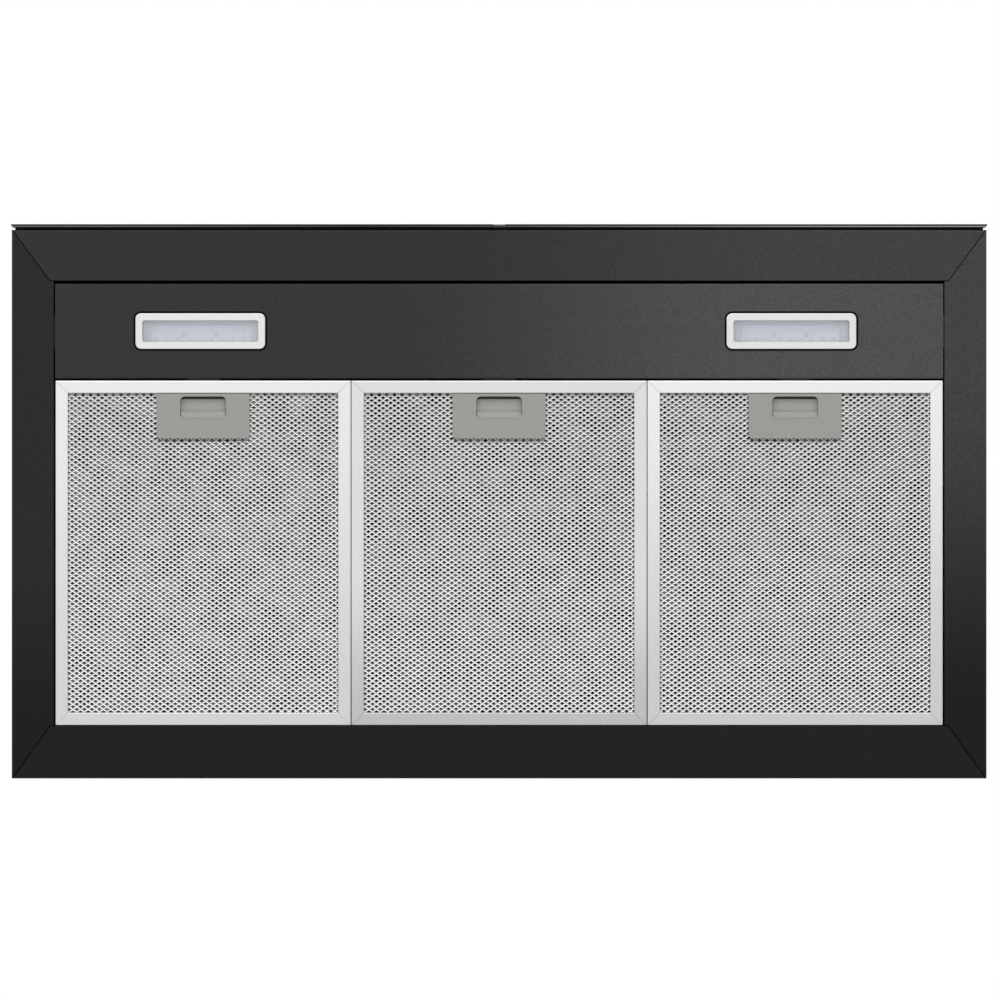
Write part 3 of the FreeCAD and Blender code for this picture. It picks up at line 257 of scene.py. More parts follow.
def powder_coat(sheet, axis, first, last, stretch=(0.0, 1.0), specular=0.3):
    low, high = [corner[axis_names.index(axis)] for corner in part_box(sheet)]
    material, shader, place = new_finish("powder_coat_" + sheet, first, coat_roughness, 0.0, specular)
    axes = add(material, "ShaderNodeSeparateXYZ", {}, {0: place})
    # The drift along the sheet is painted light and shade.
    painted_light_drift = add(material, "ShaderNodeMapRange", {"interpolation_type": "SMOOTHSTEP"}, {
        "Value": axes.outputs[axis],
        "From Min": low + stretch[0] * (high - low),
        "From Max": low + stretch[1] * (high - low),
    })
    tone = add(material, "ShaderNodeMix", {"data_type": "RGBA"}, {
        0: painted_light_drift.outputs[0], 6: linear(first), 7: linear(last),
    })
    peel = add(material, "ShaderNodeTexNoise", {}, {
        "Vector": place, "Scale": 1 / peel_size, "Detail": 3.0, "Roughness": 0.6,
    })
    grain = add(material, "ShaderNodeMapRange", {}, {
        "Value": peel.outputs[0], "From Min": speckle_range[0], "From Max": speckle_range[1],
        "To Min": 1 - speckle, "To Max": 1 + speckle,
    })
    add(material, "ShaderNodeMix", {"data_type": "RGBA", "blend_type": "MULTIPLY"}, {
        0: 1.0, 6: tone.outputs[2], 7: grain.outputs[0],
    }, to=shader.inputs["Base Color"], output=2)
    add(material, "ShaderNodeBump", {}, {
        "Height": peel.outputs[0], "Distance": peel_depth,
    }, to=shader.inputs["Normal"])
    dress(material, sheet)


# Tones and drifts below are painted light and shade: lighter where the light falls, darker where it falls
# off.
powder_coat("front_canopy_sheet", "X", "#222222", "#353535", (0.42, 0.85))
powder_coat("left_canopy_sheet", "Y", "#1F1F1F", "#070707", (0.55, 0.95), 0.2)
powder_coat("right_canopy_sheet", "Y", "#3C3C3C", "#090909", (0.25, 0.9), 0.2)
powder_coat("back_panel", "X", "#0A0A0A", "#0D0D0D", (0.5, 0.8), 0.22)
powder_coat("lamp_panel", "X", "#262626", "#464646", (0.36, 0.8))
powder_coat("lower_chimney_cover", "Z", "#1C1C1C", "#222222")
powder_coat("upper_chimney_cover", "Z", "#1C1C1C", "#222222")

# %% [markdown]
# The fascia is a strip of black glass. From below only its edge shows. It is polished and dark, apart
# from a narrow band along the arris, which is ground, scatters light and gives the eye a pale line. One
# material does both, with a band across y, read from Object coordinates, as the border. It could be two
# materials, but the strip is one solid. The band's tone changes along x, dull in one place and pale in
# another, drawn by a colour ramp: a painted reflection, of light that falls unevenly along the edge.

# %% Black glass
fascia_low, fascia_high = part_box("glass_fascia")
arris_middle = fascia_low[1] + 2.05 * mm
arris_width = 1.1 * mm
ground_grit = 0.6 * mm
grit_depth = 0.01 * mm
polished_roughness = 0.05
ground_roughness = 0.55
glass_tone = "#080808"
# Tones of the ground band along x: the band's own pale tone with a painted reflection on it.
ground_and_reflection_tones = (
    (0.0, "#747474"), (0.12, "#707070"), (0.36, "#303030"), (0.5, "#5A5A5A"), (0.85, "#A2A2A2"),
)

black_glass, glass_shader, glass_place = new_finish(
    "black_float_glass", glass_tone, polished_roughness, 0.0, 0.35
)
glass_axes = add(black_glass, "ShaderNodeSeparateXYZ", {}, {0: glass_place})
ground_edge = add(black_glass, "ShaderNodeMath", {"operation": "COMPARE"}, {
    0: glass_axes.outputs["Y"], 1: arris_middle, 2: arris_width / 2,
})
along_strip = add(black_glass, "ShaderNodeMapRange", {}, {
    "Value": glass_axes.outputs["X"], "From Min": fascia_low[0], "From Max": fascia_high[0],
})
ground_tone = add(black_glass, "ShaderNodeValToRGB", {}, {0: along_strip.outputs[0]})
for share, colour in ground_and_reflection_tones[1:]:
    ground_tone.color_ramp.elements.new(share).color = linear(colour)
ground_tone.color_ramp.elements[0].color = linear(ground_and_reflection_tones[0][1])
ground_tone.color_ramp.elements[-1].color = linear(ground_and_reflection_tones[-1][1])
add(black_glass, "ShaderNodeMix", {"data_type": "RGBA"}, {
    0: ground_edge.outputs[0], 6: linear(glass_tone), 7: ground_tone.outputs[0],
}, to=glass_shader.inputs["Base Color"], output=2)
add(black_glass, "ShaderNodeMapRange", {}, {
    "Value": ground_edge.outputs[0], "To Min": polished_roughness, "To Max": ground_roughness,
}, to=glass_shader.inputs["Roughness"])
grit = add(black_glass, "ShaderNodeTexNoise", {}, {"Vector": glass_place, "Scale": 1 / ground_grit})
add(black_glass, "ShaderNodeBump", {}, {
    "Height": grit.outputs[0], "Distance": grit_depth, "Strength": ground_edge.outputs[0],
}, to=glass_shader.inputs["Normal"])
dress(black_glass, "glass_fascia")

# %% [markdown]
# The three filter frames are aluminium channel, folded, mitred at the corners and etched to a soft
# satin. Etching leaves a grain that gives the eye a pale, even metal with no sharp mirror image. It is
# too fine to see, so it is drawn coarser here. Each frame is painted darker towards its rear: painted
# shade, where the light falls off. Its two tones differ from the other frames', and so does the share of
# its length where the darkening starts. The hinge tabs behind it are painted black: painted shade, for
# the shade in the joint there.

# %% Satin aluminium
sides = ("left", "center", "right")
etch_grain = 0.9 * mm
etch_depth = 0.012 * mm
frame_wall = 1.45 * mm
filter_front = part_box("filter_frame_center")[0][1]
tab_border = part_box("filter_mesh_center")[1][1] + frame_wall

# Front tone, painted darker rear tone and where the darkening starts: painted shade towards the rear.
etch_and_shade_tones = {
    "left": ("#F4F4F3", "#E0E0DF", 0.0),
    "center": ("#E9E9E8", "#CCCCCB", 0.55),
    "right": ("#F9F9F8", "#DADAD9", 0.0),
}


def etched_aluminium(side, front_tone, shaded_rear_tone, start):
    material, shader, place = new_finish("etched_aluminium_" + side, front_tone, 0.36, 1.0)
    axes = add(material, "ShaderNodeSeparateXYZ", {}, {0: place})
    # Darker towards the rear: painted shade.
    painted_light_drift = add(material, "ShaderNodeMapRange", {"interpolation_type": "SMOOTHSTEP"}, {
        "Value": axes.outputs["Y"],
        "From Min": filter_front + start * (tab_border - filter_front),
        "From Max": tab_border,
    })
    tone = add(material, "ShaderNodeMix", {"data_type": "RGBA"}, {
        0: painted_light_drift.outputs[0], 6: linear(front_tone), 7: linear(shaded_rear_tone),
    })
    # The hinge tabs in the rear joint are painted black: painted shade.
    tab = add(material, "ShaderNodeMath", {"operation": "GREATER_THAN"}, {
        0: axes.outputs["Y"], 1: tab_border,
    })
    add(material, "ShaderNodeMix", {"data_type": "RGBA"}, {
        0: tab.outputs[0], 6: tone.outputs[2], 7: linear(painted_joint_shade),
    }, to=shader.inputs["Base Color"], output=2)
    grain = add(material, "ShaderNodeTexNoise", {}, {
        "Vector": place, "Scale": 1 / etch_grain, "Detail": 2.0,
    })
    add(material, "ShaderNodeBump", {}, {
        "Height": grain.outputs[0], "Distance": etch_depth,
    }, to=shader.inputs["Normal"])
    dress(material, "filter_frame_" + side)


for side in sides:
    etched_aluminium(side, *etch_and_shade_tones[side])

# %% [markdown]
# Latch cover and slider are moulded in a grey-green plastic. The mould is spark-eroded, which gives the
# eye a matt surface without glare, like fine sand. The slider is painted a shade lighter than the cover:
# painted light, against the shade on the floor of its recessed pocket. Its tongue, which reaches over the
# seam in front of the filter, is painted black: painted shade, for the shade in that seam.

# %% Latch plastic
spark_grain = 0.8 * mm
spark_depth = 0.02 * mm
# The slider's lighter tone is painted light, against the shade in its pocket.
latch_tones_with_painted_light = {"latch_cover_": "#979993", "latch_slider_": "#9FA19A"}

for piece, tone in latch_tones_with_painted_light.items():
    latch_plastic, latch_shader, latch_place = new_finish("grey_green_abs_" + piece.strip("_"), tone, 0.5)
    latch_axes = add(latch_plastic, "ShaderNodeSeparateXYZ", {}, {0: latch_place})
    # The tongue in the seam is painted black: painted shade.
    tongue_in_shade = add(latch_plastic, "ShaderNodeMath", {"operation": "LESS_THAN"}, {
        0: latch_axes.outputs["Y"], 1: filter_front,
    })
    add(latch_plastic, "ShaderNodeMix", {"data_type": "RGBA"}, {
        0: tongue_in_shade.outputs[0], 6: linear(tone), 7: linear(painted_joint_shade),
    }, to=latch_shader.inputs["Base Color"], output=2)
    latch_grain = add(latch_plastic, "ShaderNodeTexNoise", {}, {
        "Vector": latch_place, "Scale": 1 / spark_grain, "Detail": 2.0,
    })
    add(latch_plastic, "ShaderNodeBump", {}, {
        "Height": latch_grain.outputs[0], "Distance": spark_depth,
    }, to=latch_shader.inputs["Normal"])
    dress(latch_plastic, *[piece + side for side in sides])

# %% [markdown]
# The lamps have a bezel of brushed, nickel plated metal. Brushing leaves fine lines along its length,
# which give the eye a bright, silky metal. The lines are far longer than they are wide, so the noise is
# stretched along x by a Mapping node. They are drawn coarser than the brush's own, so that they show.

# %% Lamp bezels
lamps = ("left", "right")
brush_width = 0.5 * mm
brush_length = 40 * mm
brush_depth = 0.01 * mm

bezel_metal, bezel_shader, bezel_place = new_finish("brushed_nickel_plate", "#EFEFED", 0.3, 1.0)
brush_space = add(bezel_metal, "ShaderNodeMapping", {}, {
    "Vector": bezel_place, "Scale": (1 / brush_length, 1 / brush_width, 1 / brush_width),
})
brush = add(bezel_metal, "ShaderNodeTexNoise", {}, {"Vector": brush_space.outputs[0], "Scale": 1.0})
add(bezel_metal, "ShaderNodeBump", {}, {
    "Height": brush.outputs[0], "Distance": brush_depth,
}, to=bezel_shader.inputs["Normal"])
dress(bezel_metal, *["lamp_bezel_" + side for side in lamps])

# %% [markdown]
# The lens is clear moulded plastic with a fine frosting, which gives the eye a thin milky veil over what
# lies behind it. It could be refracting glass, but a veil with a constant alpha lets the light through
# to the board without noise, and looks the same on a lens that is hardly thicker than card.

# %% Lamp lenses
frost_grain = 1.1 * mm
frost_depth = 0.02 * mm
veil = 0.27

lens_plastic, lens_shader, lens_place = new_finish("frosted_polycarbonate", "#F0F6FF", 0.25)
lens_shader.inputs["Alpha"].default_value = veil
frost = add(lens_plastic, "ShaderNodeTexNoise", {}, {
    "Vector": lens_place, "Scale": 1 / frost_grain, "Detail": 2.0,
})
add(lens_plastic, "ShaderNodeBump", {}, {
    "Height": frost.outputs[0], "Distance": frost_depth,
}, to=lens_shader.inputs["Normal"])
dress(lens_plastic, *["lamp_lens_" + side for side in lamps])

# %% [markdown]
# Each lamp's tray is moulded in white to throw the light out, and gives the eye a plain, shaded white.
# Its flange, which lies behind the bezel and shows only as a ring in the joint round it, is painted black:
# painted shade, for the shade in that ring. The border is the opening of the bezel, so each tray has a
# finish of its own, with its own centre.

# %% Lamp trays
tray_rim = 6.0 * mm
tray_white = "#DDDFE2"
# Black for the flange in the ring round the bezel: painted shade.
painted_ring_shade = "#020202"


def tray_plastic(side):
    low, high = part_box("lamp_bezel_" + side)
    material, shader, place = new_finish("white_polycarbonate_tray_" + side, tray_white, 0.4, 0.0, 0.1)
    axes = add(material, "ShaderNodeSeparateXYZ", {}, {0: place})
    beyond = []
    for axis in (0, 1):
        offset = add(material, "ShaderNodeMath", {"operation": "SUBTRACT"}, {
            0: axes.outputs[axis], 1: (low[axis] + high[axis]) / 2,
        })
        distance = add(material, "ShaderNodeMath", {"operation": "ABSOLUTE"}, {0: offset.outputs[0]})
        beyond.append(add(material, "ShaderNodeMath", {"operation": "GREATER_THAN"}, {
            0: distance.outputs[0], 1: (high[axis] - low[axis]) / 2 - tray_rim,
        }))
    # Beyond the bezel opening the tray is painted black: painted shade.
    shaded_flange = add(material, "ShaderNodeMath", {"operation": "MAXIMUM"}, {
        0: beyond[0].outputs[0], 1: beyond[1].outputs[0],
    })
    add(material, "ShaderNodeMix", {"data_type": "RGBA"}, {
        0: shaded_flange.outputs[0], 6: linear(tray_white), 7: linear(painted_ring_shade),
    }, to=shader.inputs["Base Color"], output=2)
    grain = add(material, "ShaderNodeTexNoise", {}, {"Vector": place, "Scale": 1 / spark_grain})
    add(material, "ShaderNodeBump", {}, {
        "Height": grain.outputs[0], "Distance": spark_depth,
    }, to=shader.inputs["Normal"])
    dress(material, "lamp_housing_" + side)


for side in lamps:
    tray_plastic(side)

# %% [markdown]
# Inside the hood there is sheet that was dipped in molten zinc. Zinc freezes on steel in crystals, the
# spangle, which give the eye a patchwork of lighter and darker greys. A Voronoi pattern has such cells,
# and each cell's own colour gives the tone.

# %% Galvanised steel
spangle_size = 9 * mm
dark_spangle = "#95999C"
pale_spangle = "#BFC2C4"

galvanised, galvanised_shader, galvanised_place = new_finish("galvanised_steel", dark_spangle, 0.38, 1.0)
spangle = add(galvanised, "ShaderNodeTexVoronoi", {}, {
    "Vector": galvanised_place, "Scale": 1 / spangle_size,
})
spangle_tone = add(galvanised, "ShaderNodeSeparateColor", {}, {0: spangle.outputs["Color"]})
add(galvanised, "ShaderNodeMix", {"data_type": "RGBA"}, {
    0: spangle_tone.outputs[0], 6: linear(dark_spangle), 7: linear(pale_spangle),
}, to=galvanised_shader.inputs["Base Color"], output=2)
dress(
    galvanised, "fan_support_frame", "fan_box", "fan_box_front_cover", "fan_box_rear_cover",
    "chimney_wall_bracket", "motor_bracket",
)

# %% [markdown]
# The other inner pieces are moulded plastics and bare metals. A moulding takes the spark-eroded grain of
# its steel mould, which gives the eye a matt surface. One function makes all of these finishes, with the
# grain in the gloss and in a bump, and each has its own colour and roughness.

# %% Inner plastics
gloss_spread = 0.08


def grained(name, colour, roughness, metallic, grain_size, grain_depth):
    material, shader, place = new_finish(name, colour, roughness, metallic)
    grain = add(material, "ShaderNodeTexNoise", {}, {
        "Vector": place, "Scale": 1 / grain_size, "Detail": 2.0,
    })
    add(material, "ShaderNodeMapRange", {}, {
        "Value": grain.outputs[0], "To Min": roughness - gloss_spread, "To Max": roughness + gloss_spread,
    }, to=shader.inputs["Roughness"])
    add(material, "ShaderNodeBump", {}, {
        "Height": grain.outputs[0], "Distance": grain_depth,
    }, to=shader.inputs["Normal"])
    return material


def moulded(name, colour, roughness):
    return grained(name, colour, roughness, 0.0, spark_grain, spark_depth)


# Polypropylene and nylon: blacks, greys and an off-white with a waxy, broad sheen.
dress(
    moulded("black_polypropylene", "#191919", 0.45),
    "outlet_collar", "mains_gland", "control_box", "control_box_lid",
)
dress(moulded("grey_scroll_polypropylene", "#3A3C3E", 0.5), "scroll_front_half", "scroll_rear_half")
dress(moulded("damper_polypropylene", "#5A5D60", 0.5), "damper_flap_left", "damper_flap_right")
dress(moulded("glass_filled_nylon", "#232527", 0.5), "impeller")
dress(moulded("white_polypropylene", "#D9D9D4", 0.4), "run_capacitor")
# Tinted acrylic: a smoky grey, the glossiest of these.
dress(moulded("smoked_acrylic", "#6A6C6D", 0.25), "sensor_window")
# Foamed tape: black and so rough that it shows no highlight.
dress(moulded("black_foam_tape", "#121212", 0.9), "fascia_tape")
# Lacquered board: a dark green with a weak gloss.
dress(moulded("green_circuit_board", "#123A24", 0.4), "touch_board")

# %% [markdown]
# The bare metals are made in the same way, with a coarser grain for a casting and a finer one for what is
# drawn or plated. On a metal it is mostly the gloss that shows the grain.

# %% Inner metals
cast_grain = 1.2 * mm
cast_depth = 0.05 * mm
drawn_grain = 0.6 * mm
plated_grain = 0.8 * mm
smooth_depth = 0.01 * mm

# A casting is a sandy mid grey, drawn steel clean and bright, and zinc plate a little duller.
dress(grained("cast_aluminium", "#A8AAAB", 0.5, 1.0, cast_grain, cast_depth), "motor_body")
bright_steel = grained("drawn_steel", "#C4C6C8", 0.25, 1.0, drawn_grain, smooth_depth)
dress(bright_steel, "motor_shaft", "damper_pin", *["latch_spring_" + side for side in sides])
zinc_screw = grained("zinc_plated_steel", "#B9BCBF", 0.3, 1.0, plated_grain, smooth_depth)
dress(zinc_screw, "chimney_screws", "fan_box_screws", "collar_screws", "bracket_screws")

# %% [markdown]
# # The expanded mesh
# Expanded metal is cut with rows of short slits and pulled apart, so it is one sheet with staggered
# holes. Pulling tips the metal round each hole: the front rim comes down towards the eye, and the rear
# rim less so. That is why the sheet looks like fish scales and mirrors light from one side.
#
# It could be a bump pattern, but the holes show deeper layers that shift as the eye moves, so it is
# modelled. One cell is a four-sided hole, whose edge is extruded outwards to a diamond. Diamonds fill a
# plane, so arrays repeat the cell and weld it into a sheet. These helpers select by place and apply
# modifiers as by hand.


# %% Helpers for modelling
def choose(test):
    bpy.ops.mesh.select_mode(type="VERT")
    bpy.ops.mesh.select_all(action="DESELECT")
    mesh = bmesh.from_edit_mesh(bpy.context.edit_object.data)
    for vertex in mesh.verts:
        vertex.select = test(vertex.co)
    mesh.select_flush(True)
    bmesh.update_edit_mesh(bpy.context.edit_object.data)


def choose_faces(test):
    bpy.ops.mesh.select_mode(type="FACE")
    bpy.ops.mesh.select_all(action="DESELECT")
    mesh = bmesh.from_edit_mesh(bpy.context.edit_object.data)
    for face in mesh.faces:
        face.select = test(face)
    mesh.select_flush(True)
    bmesh.update_edit_mesh(bpy.context.edit_object.data)


def apply_modifier(piece, kind, **options):
    modifier = piece.modifiers.new(kind.lower(), kind)
    for name, value in options.items():
        setattr(modifier, name, value)
    bpy.ops.object.modifier_apply(modifier=modifier.name)


weld_distance = 0.02 * mm


def repeat(piece, count, step):
    apply_modifier(
        piece, "ARRAY", count=count, use_relative_offset=False, use_constant_offset=True,
        constant_offset_displace=step, use_merge_vertices=True, merge_threshold=weld_distance,
    )


print("copies weld where they meet within", weld_distance / mm, "mm")

# %% [markdown]
# A cell starts as a circle of four points, drawn out to the size of the hole. Its edge is extruded and
# scaled to the pitch, which makes the rim. Then the points of the hole are pulled down, the rear one
# by a drop of its own. It could be cut from a plane, but so the rim's four faces come out evenly.

# %% One cell
hole_corners = 4


def mesh_cell(name, pitch, hole, front_drop, rear_drop):
    bpy.ops.object.select_all(action="DESELECT")
    bpy.ops.mesh.primitive_circle_add(vertices=hole_corners, radius=1)
    piece = bpy.context.object
    piece.name = name
    bpy.ops.object.mode_set(mode="EDIT")
    bpy.ops.mesh.select_mode(type="VERT")
    bpy.ops.mesh.select_all(action="SELECT")
    bpy.ops.transform.resize(value=(hole[0] / 2, hole[1] / 2, 1), center_override=(0, 0, 0))
    bpy.ops.mesh.extrude_region_move()
    bpy.ops.transform.resize(
        value=(pitch[0] / hole[0], pitch[1] / hole[1], 1), center_override=(0, 0, 0)
    )
    limit = (hole[0] + pitch[0]) / 4
    steepness = pitch[0] / pitch[1]
    choose(lambda point: abs(point.x) + steepness * abs(point.y) < limit and point.y < hole[1] / 4)
    bpy.ops.transform.translate(value=(0, 0, -front_drop))
    choose(lambda point: hole[1] / 4 < point.y < (hole[1] + pitch[1]) / 4)
    bpy.ops.transform.translate(value=(0, 0, -rear_drop))
    bpy.ops.object.mode_set(mode="OBJECT")
    return piece


print("a hole has", hole_corners, "corners")

# %% [markdown]
# The pack behind the outer sheet is rumpled foil, whose rows wander by a millimetre or two, so a
# Displace modifier with a cloud pattern pushes it about along x and y. A cloud seldom uses more than a
# quarter of the modifier's strength, so the strength is four times the wander. A sheet is trimmed to
# its frame and notched for its latch while it is a single skin, so that Solidify closes every cut edge.

# %% Rumpling and trimming
cloud_sizes = {"X": 34 * mm, "Y": 27 * mm}
strength_for_wander = 4


def rumple(piece, wander):
    for axis, cloud_size in cloud_sizes.items():
        clouds = bpy.data.textures.new("foil_wander_" + axis, "CLOUDS")
        clouds.noise_scale = cloud_size
        apply_modifier(
            piece, "DISPLACE", texture=clouds, texture_coords="LOCAL", direction=axis,
            strength=strength_for_wander * wander,
        )


def trim(point, normal):
    bpy.ops.mesh.select_all(action="SELECT")
    bpy.ops.mesh.bisect(plane_co=point, plane_no=normal, clear_outer=True)


def cut_notch(notch):
    left, right, back = notch

    def inside(point):
        return left < point.x < right and point.y < back

    def reaches_in(face):
        return any(inside(vertex.co) for vertex in face.verts)

    borders = (((left, 0, 0), (1, 0, 0)), ((right, 0, 0), (1, 0, 0)), ((0, back, 0), (0, 1, 0)))
    for border, normal in borders:
        choose_faces(reaches_in)
        bpy.ops.mesh.bisect(plane_co=border, plane_no=normal)
    choose_faces(lambda face: inside(face.calc_center_median()))
    bpy.ops.mesh.delete(type="FACE")


print("foil wanders over", [round(size / mm) for size in cloud_sizes.values()], "mm")

# %% [markdown]
# A sheet is a cell repeated along x, copied once half a pitch on, and repeated along y. It covers a bit
# more than its area, so that it still does after it is turned and rumpled. Then it is trimmed, gets its
# thickness, and is lowered or lifted until its lowest point is at the height given.

# %% One sheet
crease_angle = math.radians(40)


def expanded_sheet(piece, area, pitch, turn, wander, lowest, thickness, notch):
    (left, front), (right, back) = area
    centre = Vector(((left + right) / 2, (front + back) / 2, 0))
    spread = abs(math.sin(turn)) * max(right - left, back - front) + 2 * wander
    columns = math.ceil((right - left + spread) / pitch[0]) + 1
    rows = math.ceil((back - front + spread) / pitch[1]) + 1
    repeat(piece, columns, (pitch[0], 0, 0))
    repeat(piece, 2, (pitch[0] / 2, pitch[1] / 2, 0))
    repeat(piece, rows, (0, pitch[1], 0))
    bpy.ops.object.mode_set(mode="EDIT")
    bpy.ops.mesh.select_all(action="SELECT")
    middle = Vector(((columns - 0.5) * pitch[0] / 2, (rows - 0.5) * pitch[1] / 2, 0))
    bpy.ops.transform.translate(value=centre - middle)
    bpy.ops.transform.rotate(value=turn, orient_axis="Z", center_override=centre)
    bpy.ops.object.mode_set(mode="OBJECT")
    if wander:
        rumple(piece, wander)
    bpy.ops.object.mode_set(mode="EDIT")
    trim((left, 0, 0), (-1, 0, 0))
    trim((right, 0, 0), (1, 0, 0))
    trim((0, front, 0), (0, -1, 0))
    trim((0, back, 0), (0, 1, 0))
    cut_notch(notch)
    bpy.ops.mesh.select_all(action="SELECT")
    bpy.ops.mesh.normals_make_consistent(inside=False)
    bpy.ops.object.mode_set(mode="OBJECT")
    apply_modifier(piece, "SOLIDIFY", thickness=thickness, offset=0.0)
    bpy.ops.object.mode_set(mode="EDIT")
    bpy.ops.mesh.select_all(action="SELECT")
    bottom = min(v.co.z for v in bmesh.from_edit_mesh(piece.data).verts)
    bpy.ops.transform.translate(value=(0, 0, lowest - bottom))
    bpy.ops.object.mode_set(mode="OBJECT")
    bpy.ops.object.shade_smooth_by_angle(angle=crease_angle)


print("edges sharper than", round(math.degrees(crease_angle)), "degrees stay sharp")

# %% [markdown]
# The outer and inner sheets are bright rolled aluminium. Rolling gives the eye a clear metal with slow,
# faint clouds. The foil of the pack is thinner and duller, so it is a finish of its own. Its colour is
# painted shade: it is mixed in patches from a dark and a pale tone, for the shade deep in the pack, so
# that some holes look dark and others show pale strands across. The foil of each filter has its own
# dark and pale tone.

# %% Mesh finishes
rolling_cloud = 14 * mm
dull_rolled = "#ACACAC"
bright_rolled = "#BEBEBE"

mesh_aluminium, mesh_shader, mesh_place = new_finish("bright_rolled_aluminium", bright_rolled, 0.24, 1.0)
mesh_cloud = add(mesh_aluminium, "ShaderNodeTexNoise", {}, {
    "Vector": mesh_place, "Scale": 1 / rolling_cloud, "Detail": 3.0,
})
add(mesh_aluminium, "ShaderNodeMix", {"data_type": "RGBA"}, {
    0: mesh_cloud.outputs[0], 6: linear(dull_rolled), 7: linear(bright_rolled),
}, to=mesh_shader.inputs["Base Color"], output=2)

shade_patch_size = 16 * mm
shade_patch_range = (0.4, 0.6)
# Dark and pale tones of each foil: painted shade deep in the pack.
foil_shade_tones = {
    "left": ("#3A3B3C", "#AEB0B2"), "center": ("#070708", "#949698"), "right": ("#1E1F20", "#989A9C"),
}
foils = {}
for side in sides:
    deep_shade, pale = foil_shade_tones[side]
    foil, foil_shader, foil_place = new_finish("dull_aluminium_foil_" + side, pale, 0.42, 1.0)
    foil_cloud = add(foil, "ShaderNodeTexNoise", {}, {
        "Vector": foil_place, "Scale": 1 / shade_patch_size, "Detail": 2.0,
    })
    foil_share = add(foil, "ShaderNodeMapRange", {}, {
        "Value": foil_cloud.outputs[0], "From Min": shade_patch_range[0], "From Max": shade_patch_range[1],
    })
    add(foil, "ShaderNodeMix", {"data_type": "RGBA"}, {
        0: foil_share.outputs[0], 6: linear(deep_shade), 7: linear(pale),
    }, to=foil_shader.inputs["Base Color"], output=2)
    foils[side] = foil
print("mesh finishes:", mesh_aluminium.name, [foil.name for foil in foils.values()])

# %% [markdown]
# Each filter has a fine outer sheet, a pack of two rumpled sheets and a coarser inner sheet, which shows
# when the filter hangs open. No outer sheet is cut quite square to its rows, so each is turned by a
# fraction of a degree. The sheets of the pack are turned by some degrees, and the front rims of one are
# tipped up and those of the other down, so that their strands cross the outer holes at random, as in a
# real pack. The rims of the inner sheet are pulled up, away from the pack. Heights are those of the
# lowest point of a sheet.

# %% Sizes of the sheets
outer_pitch = (7.0 * mm, 4.75 * mm)
outer_hole = (3.95 * mm, 2.7 * mm)
outer_drops = (0.6 * mm, 0.25 * mm)
outer_height = underside + 1.6 * mm
outer_thickness = 0.4 * mm
outer_turns = {"left": 0.23, "center": 0.18, "right": -0.17}

pack_pitch = (8.0 * mm, 6.0 * mm)
pack_hole = (5.2 * mm, 3.9 * mm)
pack_lifts = (-0.3 * mm, 0.3 * mm)
pack_heights = (underside + 4.0 * mm, underside + 6.1 * mm)
pack_wander = 1.2 * mm
pack_turns = {"left": (3.0, -4.0), "center": (-3.5, 2.5), "right": (4.0, -2.0)}

inner_pitch = (9.0 * mm, 6.1 * mm)
inner_hole = (5.1 * mm, 3.5 * mm)
inner_drops = (-0.5 * mm, -0.2 * mm)
inner_height = underside + 7.1 * mm
foil_thickness = 0.3 * mm

edge_play = 3.0 * mm
latch_play = 0.4 * mm
side_lap = 2.0 * mm
rear_lap = 3.0 * mm
open_share = outer_hole[0] * outer_hole[1] / (outer_pitch[0] * outer_pitch[1])
print("holes are", round(open_share, 2), "of an outer sheet")

# %% [markdown]
# A real filter is stacked from these sheets and closed by its frame. Here they are made in turn, at the
# place of the solids that they stand in for, and all swing with the filter. They stay clear of the latch
# by a notch, over which the plate of the latch cover laps.


# %% The filters' sheets
def seat_sheet(sheet, finish, side):
    sheet.data.materials.append(finish)
    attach(sheet, "filter_" + side)


for side in sides:
    net_low, net_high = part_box("filter_mesh_" + side)
    area = (
        (net_low[0] + edge_play, net_low[1] + edge_play),
        (net_high[0] - edge_play, net_high[1] - edge_play),
    )
    slider_low, slider_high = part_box("latch_slider_" + side)
    cover_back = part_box("latch_cover_" + side)[1][1]
    notch = (
        slider_low[0] - side_lap - latch_play, slider_high[0] + side_lap + latch_play, cover_back - rear_lap,
    )
    outer_turn = math.radians(outer_turns[side])
    outer = mesh_cell("expanded_mesh_" + side, outer_pitch, outer_hole, *outer_drops)
    expanded_sheet(outer, area, outer_pitch, outer_turn, 0.0, outer_height, outer_thickness, notch)
    seat_sheet(outer, mesh_aluminium, side)
    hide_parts("filter_mesh_" + side)
    for layer, turn in enumerate(pack_turns[side]):
        tip = pack_lifts[layer]
        deep = mesh_cell("mesh_pack_%d_%s" % (layer + 1, side), pack_pitch, pack_hole, tip, -tip)
        expanded_sheet(
            deep, area, pack_pitch, math.radians(turn), pack_wander, pack_heights[layer],
            foil_thickness, notch,
        )
        seat_sheet(deep, foils[side], side)
    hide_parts("filter_core_" + side)
    inner = mesh_cell("inner_mesh_" + side, inner_pitch, inner_hole, *inner_drops)
    expanded_sheet(inner, area, inner_pitch, outer_turn, 0.0, inner_height, foil_thickness, notch)
    seat_sheet(inner, mesh_aluminium, side)
    print("mesh", side, len(outer.data.polygons), "faces outside,", len(inner.data.polygons), "inside")

# %% [markdown]
# The LED boards sit in the trays behind the lenses: a pale board with two rows of nine small packages
# and two screws. The board has a printed solder mask, which gives the eye a cool, matt white. It is
# painted greyer towards the front: painted shade, from the front wall of the tray. The packages are
# moulded cups, a warmer white, with a filling of silicone and phosphor, a pale yellow.

# %% Board finishes
board_low, board_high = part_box("led_board_left")
# Greyer towards the front of the board: painted shade from the tray's front wall.
shaded_front_mask = "#CBD7E6"
rear_mask = "#F6FBFF"

